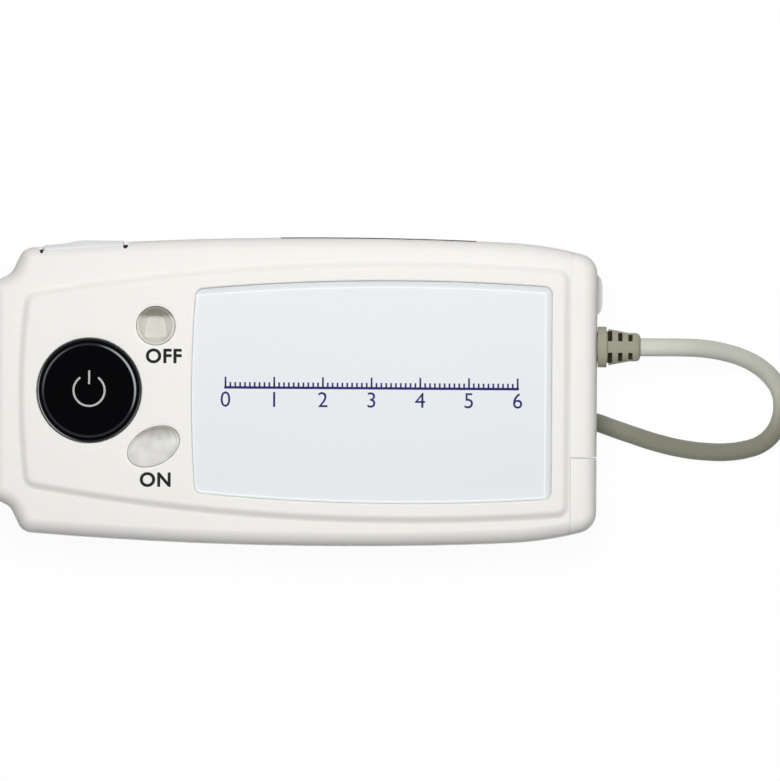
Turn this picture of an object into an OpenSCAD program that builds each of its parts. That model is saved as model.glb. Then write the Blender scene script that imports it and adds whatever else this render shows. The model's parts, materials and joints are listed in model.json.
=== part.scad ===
// Handheld single-channel heart monitor with a captive stowed data lead.
// Millimetres. The front face looks along +Z, the lead leaves the +X end,
// and the origin is the middle of the flat base.

/* [Housing] */
// Length from the left end face to the right end face
housing_l = 125; // [115:1:140]
// Width across the middle of the bowed long sides
housing_w = 63.6; // [60:0.2:70]
// Height of the flat rim above the base
rim_h = 21; // [20.6:0.1:22]
// Height of the seam between the front and rear shells
split_h = 11; // [10.6:0.1:11.4]
// Wall thickness of both shells
wall = 2; // [1.6:0.1:2.2]
// Radius of the bowed long sides
bow_r = 800; // [700:10:900]
// Place of the widest point along the length
bow_x = 8; // [6:0.5:10]
// Distance from the lead end to where the long sides turn in
hip_in = 18.5; // [16:0.5:20]
// Radius at which the long sides turn in
hip_r = 75; // [65:5:90]
// Corner radius in plan at the lead end
corner_r = 4.3; // [3.5:0.1:5]
// Radius of the edge round the front face
top_edge_r = 2.8; // [2.4:0.1:3]
// Radius of the edge round the base
base_edge_r = 5; // [4:0.2:5.4]
// Amount that the rear shell's sides lean in
rear_draft = 1; // [0.6:0.1:1.2]
// Amount that the front shell's sides lean in
front_draft = 0.25; // [0.1:0.05:0.5]

/* [Notched End] */
// Half width of the tongue between the two notches
tongue_hw = 23; // [22:0.2:24]
// Corner radius of the tongue
tongue_r = 2.7; // [2:0.1:3]
// Radius of the shoulder beside each notch
shoulder_r = 3.2; // [2.6:0.1:3.6]
// Distance from the left end to the shoulder's centre
shoulder_in = 8.8; // [8.4:0.1:10]
// Radius of the hollow in each notch
notch_r = 3.4; // [3:0.1:3.6]
// Distance from the left end to the centre of each hollow
notch_in = 1.7; // [1.4:0.1:2]
// Clearance of each hollow outside the tongue's side
notch_out = 0.2; // [0.1:0.05:0.4]

/* [Raised Field] */
// Height of the raised field above the rim
field_h = 1; // [0.6:0.1:1.2]
// Distance from the left end to the raised field
field_in = 5.4; // [5:0.1:6.2]
// Distance from the raised field to the lead end
field_out = 5.6; // [5.5:0.1:6.4]
// Distance from the widest part of the field to the side
field_margin = 4.45; // [4:0.05:5]
// Place of the field's widest point
field_bow_x = 22; // [18:0.5:26]
// Radius of the field's long edges
field_bow_r = 430; // [400:5:480]
// Corner radius of the field
field_corner_r = 3.2; // [2.4:0.1:3.6]
// Radius of the field's left end
field_end_r = 150; // [120:5:200]
// Slope of the step round the field, in plan
field_step = 2.4; // [1.8:0.1:2.8]

/* [Display] */
// Distance from the left end to the display lens
lens_in = 41.6; // [41.2:0.1:42.8]
// Distance from the display lens to the lead end
lens_out = 9.5; // [9.3:0.1:10.7]
// Distance from the widest part of the lens to the side
lens_margin = 8.95; // [8.5:0.05:9.8]
// Place of the lens's widest point
lens_bow_x = 21.5; // [18:0.5:25]
// Radius of the lens's long edges
lens_bow_r = 440; // [400:10:520]
// Corner radius of the lens
lens_corner_r = 1.6; // [1.2:0.1:2]
// Radius of the lens's left end
lens_end_r = 265; // [200:5:400]
// Thickness of the lens
lens_t = 1; // [0.8:0.05:1.1]
// Thickness of the bonding tape under the lens
tape_t = 0.3; // [0.2:0.05:0.4]
// Width of the ledge that the lens is bonded to
ledge_w = 3; // [2:0.1:3.6]
// Depth of the lens face below the raised field
lens_drop = 0.6; // [0.4:0.05:0.65]
// Gap round the lens in its recess
lens_gap = 0.15; // [0.1:0.05:0.25]
// Thickness of the front wall over the keys and display
front_t = 2.6; // [2.4:0.1:2.8]
// Thickness of the display panel
panel_t = 1.8; // [1.4:0.1:2]
// Thickness of the light plate behind the panel
light_t = 1.5; // [1.2:0.1:1.8]
// Margin of the panel round the window
panel_margin = 1; // [0.6:0.1:1.2]
// Wall of the frame round the panel
panel_frame_t = 1.2; // [0.8:0.1:1.2]

/* [Keys] */
// Distance from the left end to the centre of the round key
main_key_in = 20.55; // [20.1:0.05:21.1]
// Radius of the round key
main_key_r = 10.76; // [10:0.05:11]
// Distance from the left end to the centre of the small round key
stop_key_in = 34.15; // [33.5:0.05:34.5]
// Centre of the small round key across the width
stop_key_y = 13.35; // [13:0.05:14]
// Radius of the small round key
stop_key_r = 3.96; // [3.5:0.02:4.2]
// Distance from the left end to the centre of the oval key
start_key_in = 33.84; // [33.5:0.02:34.5]
// Centre of the oval key across the width
start_key_y = -11.47; // [-12:0.01:-11]
// Half length of the oval key
start_key_a = 5.67; // [5:0.01:5.9]
// Half width of the oval key
start_key_b = 3.77; // [3.4:0.01:4]
// Turn of the oval key
start_key_turn = 27.6; // [15:0.6:40]
// Height of the round key above the raised field
main_key_rise = 0.7; // [0.4:0.1:1]
// Height of the small keys above the raised field
small_key_rise = 0.3; // [0.1:0.1:0.6]
// Travel of every key
key_travel = 0.6; // [0.4:0.1:0.8]
// Gap round each key in its hole
key_gap = 0.15; // [0.1:0.05:0.25]
// Width of the flange that keeps a key in
key_flange_w = 1.1; // [0.8:0.1:1.2]
// Thickness of the key flange
key_flange_t = 0.8; // [0.6:0.1:1]
// Free play above the key flange
key_play = 0.2; // [0.1:0.05:0.3]

/* [End Cap] */
// Length of the end pieces, from the lead end to the seam
end_l = 5.6; // [5.1:0.1:6.1]
// Width of the port cover, from the side to its seam
cover_w = 18.7; // [17.8:0.1:19.6]
// Gap of both seams
seam_gap = 0.2; // [0.1:0.05:0.3]
// Distance from the side to the middle of the strap bar
strap_in = 11.5; // [10.4:0.1:12.8]
// Length of the strap bar
strap_l = 8.6; // [8:0.2:10]
// Width of the strap bar
strap_w = 4; // [3:0.2:5]
// Thickness of the strap bar
strap_t = 1.2; // [1:0.1:1.4]
// Amount that the strap bar stands out of the end
strap_proud = 1; // [0.6:0.1:1.2]
// Depth of the pocket behind the strap bar
strap_pocket_d = 4.4; // [4.2:0.1:4.6]
// Height of the pocket behind the strap bar
strap_pocket_h = 13; // [12.6:0.1:14]
// Height of the strap bar's middle
strap_z = 11; // [10:0.2:12]
// Travel of the port cover
cover_travel = 4.5; // [3:0.5:5]
// Radius of the bore of the lead socket
jack_r = 1.8; // [1.3:0.05:2.6]
// Width of each prong of the port cover
prong_w = 1.6; // [1.2:0.1:2]
// Height of each prong
prong_h = 6; // [4:0.5:7]
// Gap round each prong
prong_gap = 0.1; // [0.05:0.05:0.2]

/* [Lead] */
// Centre of the lead's boot across the width
boot_y = 9.6; // [8:0.1:11]
// Height of the boot's axis
boot_z = 14.5; // [14:0.1:15]
// Diameter of the boot at its root
boot_root_d = 8.4; // [7.6:0.1:9]
// Diameter of the boot at its tip
boot_tip_d = 5.85; // [5:0.05:6.4]
// Length of the boot outside the end cap
boot_l = 8.8; // [8:0.1:10]
// Diameter of the neck inside the end cap
boot_neck_d = 6; // [5:0.1:6.4]
// Length of the boot's flange
boot_flange_l = 1.8; // [1.4:0.1:2]
// Width of the groove behind the flange
boot_groove_w = 0.4; // [0.3:0.05:0.6]
// Width of each pocket in the boot
boot_slot_w = 0.9; // [0.7:0.05:1]
// Spacing of the boot's pockets
boot_slot_pitch = 2.1; // [1.9:0.05:2.2]
// Width of the spine between the boot's pockets
boot_spine_w = 2.4; // [2.2:0.1:3]
// Thickness of the web below the boot's pockets
boot_web_t = 1.2; // [0.8:0.1:1.6]
// Wall at the boot's side that closes each pocket
boot_rim_t = 0.4; // [0.3:0.05:0.6]
// Diameter of the lead
cord_d = 3.7; // [3.5:0.1:4]
// Sides of the lead's tube
cord_sides = 8; // [8:1:12]

/* [Stowed Plug] */
// Centre of the plug across the width
plug_y = -5; // [-5.4:0.1:-4.6]
// Height of the plug's axis
plug_z = 4.3; // [4.2:0.05:4.4]
// Length of the moulded grip
grip_l = 17.3; // [15:0.1:18]
// Width of the moulded grip
grip_w = 16; // [14:0.2:17]
// Thickness of the moulded grip
grip_t = 8; // [7:0.1:8.4]
// Length of the metal shell
shell_l = 14; // [12:0.5:15]
// Width of the metal shell
shell_w = 12; // [11:0.5:12.5]
// Thickness of the metal shell
shell_t = 4.5; // [4:0.1:5]
// Sheet thickness of the metal shell
shell_sheet = 0.4; // [0.3:0.05:0.5]
// Gap round the grip in its pocket
pocket_gap = 0.3; // [0.2:0.05:0.4]
// Wall round the pocket
pocket_wall = 1.5; // [1.2:0.1:1.8]

/* [Batteries] */
// Diameter of one cell
cell_d = 10.5; // [10:0.1:10.6]
// Length of one cell
cell_l = 44.5; // [44:0.1:45]
// Distance from the left end to the cells
cell_in = 16.2; // [15.9:0.1:16.5]
// Gap between the cells and their bay
cell_gap = 0.25; // [0.2:0.05:0.4]
// Diameter of a cell's nub
nub_d = 3.8; // [3.4:0.1:3.8]
// Height of a cell's nub
nub_h = 0.8; // [0.6:0.1:1]
// Half width of the contact plates
contact_hw = 4; // [3:0.1:4.4]
// Thickness of the contact plates
contact_t = 0.4; // [0.3:0.05:0.5]
// Wall of the battery bay
bay_wall = 1.4; // [1.2:0.1:1.6]
// Reach of the battery door past each side of the bay
door_side = 1.675; // [1.3:0.025:2.2]
// Thickness of the battery door
door_t = 1.8; // [1.6:0.1:1.9]
// Reach of the battery door past the right end of the bay
door_lap = 3.15; // [2.6:0.05:4]
// Reach of the door's side rails
rail_w = 1; // [0.8:0.1:1.2]
// Thickness of the door's side rails
rail_t = 0.6; // [0.5:0.05:0.7]
// Gap round the door and its rails
door_gap = 0.12; // [0.08:0.02:0.2]

/* [Board] */
// Thickness of the circuit board
board_t = 1.6; // [1.2:0.1:1.8]
// Distance from the left end to the board
board_in = 16.5; // [16.1:0.1:17.1]
// Distance from the board to the lead end
board_out = 14; // [13.7:0.1:14.5]
// Distance from each long edge of the board to the side
board_margin = 6.8; // [6.4:0.1:7.2]
// Height of the tact switches
switch_h = 2.45; // [2.3:0.05:2.5]
// Side of a tact switch
switch_w = 6; // [5:0.2:6.2]

/* [Electrodes] */
// Distance from the left end to the finger electrode
finger_in = 11; // [10.7:0.1:12.5]
// Length of the finger electrode
finger_l = 16.3; // [14:0.1:18]
// Lower edge of the finger electrode
finger_z0 = 7.5; // [7:0.5:9]
// Amount that the finger electrode stands proud
finger_proud = 0.35; // [0.2:0.05:0.5]
// Sheet thickness of the finger electrode
finger_t = 0.9; // [0.7:0.1:1.1]
// Length of the chest electrode across the end face
chest_l = 20; // [16:1:26]
// Height of the chest electrode
chest_h = 9; // [8:0.5:10]
// Corner radius of the chest electrode
chest_r = 3; // [2:0.1:3.6]
// Amount that the chest electrode stands out of the end
chest_proud = 1; // [0.6:0.1:1.2]
// Gap between the battery door and the palm electrode
palm_gap = 3; // [2.4:0.2:4]
// Gap between the palm electrode and the plug's pocket
palm_end_gap = 6.4; // [5.4:0.1:8]
// Corner radius of the palm electrode
palm_r = 2.5; // [1.5:0.1:3]
// Half width of the palm electrode
palm_hw = 15; // [12:0.5:18]
// Thickness of the palm electrode
palm_t = 0.8; // [0.6:0.1:1]
// Gap round each electrode in its recess
electrode_gap = 0.1; // [0.05:0.05:0.15]

/* [Fasteners] */
// Radius of a case screw's shank
screw_r = 1; // [0.8:0.1:1.1]
// Radius of a case screw's head
head_r = 1.9; // [1.7:0.1:2]
// Radius of a post that takes a case screw
post_r = 2.8; // [2.6:0.1:3]
// Depth of the counterbore for a case screw
counterbore = 4; // [3:0.5:5]
// Radius of a board screw's shank
board_screw_r = 0.8; // [0.6:0.05:0.9]
// Radius of a boss that takes a board screw
boss_r = 2.2; // [2:0.1:2.3]

/* [Hidden] */

$fn = 48;
eps = 0.01;
far = 200;
least_r = 0.35;

end_x = housing_l / 2;
side_y = housing_w / 2;
field_x0 = -end_x + field_in;
field_x1 = end_x - field_out;
field_hw = side_y - field_margin;
lens_x0 = -end_x + lens_in;
lens_x1 = end_x - lens_out;
lens_hw = side_y - lens_margin;
main_key_x = -end_x + main_key_in;
stop_key_x = -end_x + stop_key_in;
start_key_x = -end_x + start_key_in;
end_seam_x = end_x - end_l;
cover_seam_y = -side_y + cover_w;
strap_y = side_y - strap_in;
cell_x0 = -end_x + cell_in;
board_x0 = -end_x + board_in;
board_x1 = end_x - board_out;
board_hw = side_y - board_margin;
finger_x0 = -end_x + finger_in;
finger_x1 = finger_x0 + finger_l;
bow_y = side_y - bow_r;
hip_a = asin((end_x - hip_in - bow_x) / bow_r);
hip_x = bow_x + (bow_r - hip_r) * sin(hip_a);
hip_y = bow_y + (bow_r - hip_r) * cos(hip_a);
field_bow_y = field_hw - field_bow_r;
lens_bow_y = lens_hw - lens_bow_r;
field_z = rim_h + field_h;
ceil_z = field_z - front_t;
shell_x1 = end_seam_x - seam_gap / 2;
cap_x0 = end_seam_x + seam_gap / 2;
lens_z1 = field_z - lens_drop;
lens_z0 = lens_z1 - lens_t;
recess_z = lens_z0 - tape_t;
key_z1 = ceil_z - key_play;
key_z0 = key_z1 - key_flange_t;
switch_z1 = key_z0 - key_travel - 0.15;
board_z1 = switch_z1 - switch_h;
board_z0 = board_z1 - board_t;
panel_play = 0.4;
panel_z1 = ceil_z - panel_play;
panel_z0 = panel_z1 - panel_t;
light_z0 = panel_z0 - light_t;
pocket_z1 = plug_z + grip_t / 2 + pocket_gap;
pocket_hw = grip_w / 2 + pocket_gap;
grip_in = 7;
grip_x1 = end_x - grip_in;
grip_x0 = grip_x1 - grip_l;
shell_x0 = grip_x0 - shell_l;
pocket_x0 = shell_x0 - pocket_gap;
cell_z = door_t + cell_gap + cell_d / 2;
cell_y = cell_d / 2 + cell_gap;
cell_x1 = cell_x0 + cell_l;
bay_x0 = cell_x0 - cell_gap - contact_t;
bay_x1 = cell_x1 + cell_gap + contact_t;
bay_hw = 2 * cell_y + cell_gap / 2;
door_hw = bay_hw + door_side;
door_x1 = bay_x1 + door_lap;
palm_x0 = door_x1 + palm_gap;
palm_x1 = pocket_x0 - palm_end_gap;
boss_in = 9.4;
boss_taper = 0.8;
boss_end_in = 3.5;
boss_y = side_y - boss_in;
left_boss_y = boss_y - boss_taper;
left_boss_x = board_x0 + boss_end_in + 0.5;
right_boss_x = board_x1 - boss_end_in;
boss_spots = [[left_boss_x, left_boss_y], [left_boss_x, -left_boss_y],
    [right_boss_x, boss_y], [right_boss_x, -boss_y]];
panel_x0 = lens_x0 + ledge_w - panel_margin;
panel_end_in = 1.5;
frame_play = 0.5;
post_play = 0.3;
left_post_in = 11.5;
left_post_side = 5.4;
right_post_in = 12.5;
panel_x1 = board_x1 - panel_end_in;
panel_hw = boss_y - boss_r - panel_frame_t - frame_play;
post_side_y = panel_hw + panel_frame_t + post_play + post_r;
left_post_x = -end_x + left_post_in;
left_post_y = tongue_hw - left_post_side;
right_post_x = board_x1 - right_post_in;
post_spots = [[left_post_x, left_post_y], [left_post_x, -left_post_y],
    [right_post_x, post_side_y], [right_post_x, -post_side_y]];
screw_reach = 5;
screw_z1 = split_h + screw_reach;
head_t = 1.4;
prong_grip = 1.5;
prong_l = cover_travel + prong_grip;
socket_side = 4.15;
socket_lift = 3.4;
socket_r = 2 * jack_r;
socket_y = cover_seam_y - socket_r - socket_side;
socket_z = socket_r + socket_lift;
socket_l = 8;
prong_side = 0.55;
prong_out = socket_r + prong_side + prong_w / 2;
prong_spots = [socket_y + prong_out, socket_y - prong_out];
screw_fit = 0.02;
boss_bite = 2.3;
channel_side = cord_d / 2 + 1.55;
channel_turn = 1;
channel_y0 = plug_y - channel_side - channel_turn;
channel_y1 = plug_y + channel_side;
channel_z1 = plug_z + cord_d / 2 + 0.45;
strap_z0 = strap_z - strap_pocket_h / 2;
chest_lift = 1;
chest_z = split_h + chest_lift;
contact_z = board_z0 + board_t / 2;
finger_drop = 1.4;
finger_pin_in = 4.8;
finger_z1 = rim_h - finger_drop;
finger_pin_x = finger_x1 - finger_pin_in;
finger_back_y = touch_y(finger_pin_x, bow_x, bow_y, bow_r) + finger_proud - finger_t
    - front_draft * (contact_z - split_h) / (rim_h - top_edge_r - split_h);
palm_pin_in = 6;
palm_pin_side = 2;
palm_pin_x = palm_x0 + palm_pin_in;
palm_pin_y = -palm_hw + palm_pin_side;
deck_t = 1.4;
deck_z = door_t + deck_t;
rail_z0 = 0.6;
header_in = 11.5;
header_x1 = board_x1 - header_in;
header_l = 6;
header_w = 10;
header_h = 3;
header_gap = 1.4;
can_in = 6.5;
can_side = 6;
can_l = 14;
can_w = 13;
can_h = 2.2;
can_x0 = board_x1 - can_in - can_l;
can_y0 = board_hw - can_side - can_w;
header_y1 = can_y0 - header_gap;
chip_l = 12;
chip_h = 1.4;
chip_gap = 2;
chip_side = 5;
chip_x0 = can_x0 - chip_gap - chip_l;
chip_y0 = board_hw - chip_side - chip_l;
buzzer_gap = 3.5;
buzzer_side = 1.5;
buzzer_r = 4.5;
buzzer_h = 4;
neck_gap = 4.3;
neck_x0 = board_x1 + neck_gap;
core_d = 2.2;
pin_r = 0.8;

// Arc segments at the corner, along a long side, and at the shoulder, notch and tongue
corner_n = 5;
side_n = 12;
hip_n = 5;
end_n = 6;
small_n = 4;

// Heights and insets of the housing's sides, from the base up and from the seam up
base_steps = 4;
top_steps = 4;
rear_sides = concat(
    [for (k = [0:base_steps]) let (a = 90 * k / base_steps)
        [base_edge_r * (1 - cos(a)), rear_draft + base_edge_r * (1 - sin(a))]],
    [[split_h, 0]]);
front_sides = concat([[split_h, 0]],
    [for (k = [0:top_steps]) let (a = 90 * k / top_steps)
        [rim_h - top_edge_r * (1 - sin(a)), front_draft + top_edge_r * (1 - cos(a))]]);

field_steps = [[rim_h - 1, 0], [rim_h, 0], [rim_h + field_h * 0.13, field_step * 0.25],
    [rim_h + field_h * 0.87, field_step * 0.75], [field_z, field_step]];

// Route of the lead from the boot's tip to the plug's grip
cord_route = [[71.3, 9.6, 14.5], [75, 9.6, 14.5], [79.6, 9.6, 13.4], [84.4, 9.4, 10.9],
    [89.2, 8.6, 7.8], [93, 7.4, 5.4], [96.3, 5.6, 3.5], [98.9, 3.2, 2.3],
    [100.4, 0.7, 1.9], [100.9, -2, 1.9], [100.6, -4.8, 1.9], [99.3, -7.7, 1.9],
    [96.6, -10.2, 1.9], [93.2, -11.4, 1.9], [89.6, -11.9, 1.9], [86, -11.9, 1.9],
    [81, -11.4, 1.9], [75.1, -10.1, 1.9], [69.4, -8.3, 1.9], [65.6, -7, 2.1],
    [62.4, -5.9, 2.8], [60, -5.3, 3.6], [57.8, -5, 4.2], [55.5, -5, 4.3]];

function unit(v) = v / norm(v);

// The height at x of the centre of a circle that touches a larger one from inside
function touch_y(x, cx, cy, reach) = cy + sqrt(reach ^ 2 - (x - cx) ^ 2);

// Circles round the housing's outline, counter-clockwise, as [x, y, signed radius, arc segments,
// end points left out], where a long side leaves out the points that it shares with its corners
function half_outline(d) =
    let (rc = max(corner_r - d, least_r), xc = end_x - d - rc,
        rs = max(shoulder_r - d, least_r),
        xs = -end_x + shoulder_in + d + rs - shoulder_r,
        rt = max(tongue_r - d, least_r))
    [[xc, touch_y(xc, hip_x, hip_y, hip_r - d - rc), rc, corner_n, 0],
     [hip_x, hip_y, hip_r - d, hip_n, 1],
     [bow_x, bow_y, bow_r - d, side_n, 1],
     [xs, touch_y(xs, bow_x, bow_y, bow_r - d - rs), rs, small_n, 0],
     [-end_x + notch_in, tongue_hw + notch_r + notch_out, -notch_r - d, small_n, 0],
     [-end_x + d + rt, tongue_hw - d - rt, rt, small_n, 0]];

// The centre of a corner between a long edge's circle and a left end's circle
function corner_seat(cx, cy, r, ex, er, rc) =
    let (v = [ex - cx, -cy], s = norm(v), ra = r - rc,
        a = (ra ^ 2 - (er - rc) ^ 2 + s ^ 2) / (2 * s), h = sqrt(ra ^ 2 - a ^ 2))
    [cx + (a * v[0] - h * v[1]) / s, cy + (a * v[1] + h * v[0]) / s];

// Circles round a four-cornered outline with bowed long edges and a bowed left end
function half_bowed(x0, x1, cx, cy, r, corner, er, d) =
    let (rc = max(corner - d, least_r), xa = x1 - d - rc,
        left = corner_seat(cx, cy, r - d, x0 + er, er - d, rc))
    [[xa, touch_y(xa, cx, cy, r - d - rc), rc, corner_n, 0],
     [cx, cy, r - d, side_n, 1],
     [left[0], left[1], rc, corner_n, 0],
     [x0 + er, 0, er - d, end_n, 1]];

// The whole ring of circles from its upper half, where a circle on the centreline comes once
function both_halves(upper) =
    concat(upper, [for (i = [len(upper) - 1:-1:0])
        let (c = upper[i]) if (c[1] != 0) [c[0], -c[1], c[2], c[3], c[4]]]);

// The direction from a circle's centre to its tangent point towards the next circle
function leave_angle(a, b) =
    let (v = [b[0] - a[0], b[1] - a[1]], s = (a[2] - b[2]) / norm(v))
    atan2(v[1], v[0]) - acos(max(-1, min(1, s)));

function turn(a) = a - 360 * round(a / 360);

// The points of the outline that runs round a ring of circles
function ring_points(c) =
    let (n = len(c))
    [for (i = [0:n - 1])
        let (a0 = leave_angle(c[(i + n - 1) % n], c[i]), a1 = leave_angle(c[i], c[(i + 1) % n]),
            sweep = turn(a1 - a0))
        for (k = [c[i][4]:c[i][3] - c[i][4]])
            let (a = a0 + sweep * k / c[i][3])
            [c[i][0] + c[i][2] * cos(a), c[i][1] + c[i][2] * sin(a)]];

function outline(d) = ring_points(both_halves(half_outline(d)));
function field(d) = ring_points(both_halves(
    half_bowed(field_x0, field_x1, field_bow_x, field_bow_y, field_bow_r, field_corner_r,
        field_end_r, d)));
function lens_outline(d) = ring_points(both_halves(
    half_bowed(lens_x0, lens_x1, lens_bow_x, lens_bow_y, lens_bow_r, lens_corner_r,
        lens_end_r, d)));

function rounded(l, w, r) = [for (c = [[1, 1, 0], [-1, 1, 90], [-1, -1, 180], [1, -1, 270]])
    for (k = [0:4]) [c[0] * (l / 2 - r) + r * cos(c[2] + 22.5 * k),
        c[1] * (w / 2 - r) + r * sin(c[2] + 22.5 * k)]];

function oval(a, b, n = 40) = [for (k = [0:n - 1]) [a * cos(360 * k / n), b * sin(360 * k / n)]];

// A closed solid through rings of equal point count, each [points, height]
module loft(rings) {
    n = len(rings[0][0]);
    m = len(rings);
    polyhedron(
        points = [for (r = rings) for (p = r[0]) [p[0], p[1], r[1]]],
        faces = concat([[for (i = [0:n - 1]) i]], [[for (i = [n - 1:-1:0]) (m - 1) * n + i]],
            [for (j = [0:m - 2]) for (i = [0:n - 1]) for (t = [0, 1])
                let (a = j * n + i, b = j * n + (i + 1) % n)
                t == 0 ? [a, b + n, b] : [a, a + n, b + n]]),
        convexity = 8);
}

// Steps of [height, inset] run on past both ends, so that a flat cut closes them
function run_on(steps) = let (n = len(steps), k = 0.5)
    concat([steps[0] + k * (steps[0] - steps[1])], steps,
        [steps[n - 1] + k * (steps[n - 1] - steps[n - 2])]);

// The housing's outline through steps of [height, inset], cut flat at z0 and z1
module side_loft(steps, x0, x1, y0, y1, z0, z1) {
    intersection() {
        loft([for (s = run_on(steps)) [outline(s[1]), s[0]]]);
        box(x0, x1, y0, y1, z0, z1);
    }
}

// The space inside both shells
module cavity() {
    side_loft([[wall, wall + rear_draft + base_edge_r * 0.3],
        [base_edge_r + wall, wall + rear_draft], [split_h, wall],
        [rim_h - top_edge_r, wall + front_draft],
        [ceil_z, wall + front_draft + top_edge_r * 0.3]],
        -far, shell_x1 - wall, -far, far, wall, ceil_z);
}

module box(x0, x1, y0, y1, z0, z1) {
    translate([x0, y0, z0]) cube([x1 - x0, y1 - y0, z1 - z0]);
}

module post(spot, r, z0, z1) {
    translate([spot[0], spot[1], z0]) cylinder(r = r, h = z1 - z0);
}

module main_key_disc(r, z0, z1) {
    translate([main_key_x, 0, z0]) cylinder(r = r, h = z1 - z0, $fn = 96);
}

module stop_key_disc(r, z0, z1) {
    translate([stop_key_x, stop_key_y, z0]) cylinder(r = r, h = z1 - z0);
}

module start_key_disc(grow, z0, z1) {
    translate([start_key_x, start_key_y, z0]) rotate(start_key_turn)
        linear_extrude(z1 - z0) polygon(oval(start_key_a + grow, start_key_b + grow));
}

module prongs(gap, x1) {
    for (y = prong_spots)
        box(end_seam_x - prong_l - gap, x1, y - prong_w / 2 - gap, y + prong_w / 2 + gap,
            split_h - prong_h / 2 - gap, split_h + prong_h / 2 + gap);
}

module boot_neck(gap, x0, x1) {
    translate([x0, boot_y, boot_z]) rotate([0, 90, 0])
        cylinder(d = boot_neck_d + 2 * gap, h = x1 - x0);
}

module socket_hole(x0, x1, gap = 0) {
    translate([x0, socket_y, socket_z]) rotate([0, 90, 0]) cylinder(r = socket_r + gap, h = x1 - x0);
}

// A band that follows the bowed side and the edge above it
module side_band(x0, x1, z0, z1, out, thick) {
    top_a = asin((z1 - rim_h + top_edge_r) / top_edge_r);
    skin = function (d) concat([[split_h, d], [rim_h - top_edge_r, front_draft + d]],
        [for (k = [1:4]) let (a = top_a * k / 4)
            [rim_h - top_edge_r + (top_edge_r - d) * sin(a),
             front_draft + top_edge_r - (top_edge_r - d) * cos(a)]]);
    low = rear_draft * (split_h - z0) / (split_h - base_edge_r);
    outer = concat([[z0, low - out]], skin(-out));
    inner = concat([[z0, low - out + thick]], skin(thick - out));
    across = asin((bow_x - x0) / bow_r);
    span = across - asin((bow_x - x1) / bow_r);
    translate([bow_x, bow_y, 0]) rotate(90 + across - span)
        rotate_extrude(angle = span, $fn = 900)
            polygon(concat([for (p = outer) [bow_r - p[1], p[0]]],
                [for (i = [len(inner) - 1:-1:0]) [bow_r - inner[i][1], inner[i][0]]]));
}

module finger_place(gap) {
    side_band(finger_x0 - gap, finger_x1 + gap, finger_z0 - gap, finger_z1 + gap / 2,
        finger_proud + 2 * gap, finger_t + 3 * gap);
}

module chest_plate(grow, x0, x1) {
    translate([x0, 0, chest_z]) rotate([90, 0, 90])
        linear_extrude(x1 - x0) polygon(rounded(chest_l + 2 * grow, chest_h + 2 * grow, chest_r + grow));
}

module palm_plate(grow, z0, z1) {
    translate([(palm_x0 + palm_x1) / 2, 0, z0])
        linear_extrude(z1 - z0)
            polygon(rounded(palm_x1 - palm_x0 + 2 * grow, 2 * palm_hw + 2 * grow,
                min(palm_r, (palm_x1 - palm_x0) / 3) + grow));
}

module front_shell() {
    color("#F4F1EC") difference() {
        union() {
            side_loft(front_sides, -far, shell_x1, -far, far, split_h, rim_h);
            intersection() {
                loft([for (f = run_on(field_steps)) [field(f[1]), f[0]]]);
                box(-far, shell_x1, -far, far, rim_h - 0.5, field_z);
            }
        }
        difference() {
            cavity();
            for (s = post_spots) post(s, post_r, split_h, field_z);
            for (s = boss_spots) post(s, boss_r, board_z1, field_z);
        }
        main_key_disc(main_key_r + key_gap, ceil_z - eps, far);
        stop_key_disc(stop_key_r + key_gap, ceil_z - eps, far);
        start_key_disc(key_gap, ceil_z - eps, far);
        translate([0, 0, recess_z]) linear_extrude(far) polygon(lens_outline(-lens_gap));
        translate([0, 0, ceil_z - 1]) linear_extrude(far) polygon(lens_outline(ledge_w));
        for (s = post_spots) post(s, screw_r + screw_fit, split_h - 1, screw_z1 + 0.5);
        for (s = boss_spots) post(s, board_screw_r + screw_fit, board_z1 - 1,
            board_z1 + boss_bite + 0.2);
        finger_pin(pin_r + 0.2, 0.2);
        boot_neck(0.3, shell_x1 - 2 * wall, far);
        prongs(prong_gap, far);
        finger_place(electrode_gap);
        chest_plate(electrode_gap, -far, -end_x + wall + 1);
    }
}

module rear_shell() {
    color("#EFECE6") difference() {
        side_loft(rear_sides, -far, shell_x1, -far, far, 0, split_h);
        difference() {
            cavity();
            for (s = post_spots) post(s, post_r, 0, split_h);
            box(pocket_x0 - pocket_wall, far, plug_y - pocket_hw - pocket_wall,
                plug_y + pocket_hw + pocket_wall, 0, pocket_z1 + pocket_wall);
            box(bay_x0 - bay_wall, bay_x1 + bay_wall, -bay_hw - bay_wall, bay_hw + bay_wall, 0,
                split_h - 0.5);
            box(-far, door_x1 + bay_wall, -door_hw - rail_w - bay_wall,
                door_hw + rail_w + bay_wall, 0, deck_z);
        }
        box(bay_x0, bay_x1, -bay_hw, bay_hw, -1, far);
        box(pocket_x0, far, plug_y - pocket_hw, plug_y + pocket_hw, -1, pocket_z1);
        box(-far, door_x1 + door_gap, -door_hw - door_gap, door_hw + door_gap, -1, door_t + door_gap);
        box(-far, door_x1 + door_gap, -door_hw - rail_w - door_gap, door_hw + rail_w + door_gap,
            rail_z0 - door_gap, rail_z0 + rail_t + door_gap);
        for (s = post_spots) {
            post(s, screw_r + 0.2, -1, far);
            post(s, head_r + 0.2, -1, counterbore);
        }
        palm_plate(electrode_gap, -1, palm_t + 0.1);
        post([palm_pin_x, palm_pin_y], pin_r + 0.4, 0, wall + 1);
        prongs(prong_gap, far);
        socket_hole(shell_x1 - 2 * wall, far, 0.15);
        finger_place(electrode_gap);
        chest_plate(electrode_gap, -far, -end_x + wall + 1);
    }
}

// The end of the whole housing beyond the seam
module end_block(y0, y1) {
    side_loft(concat(rear_sides, [for (i = [1:len(front_sides) - 1]) front_sides[i]]),
        cap_x0, far, y0, y1, 0, rim_h);
}

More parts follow.
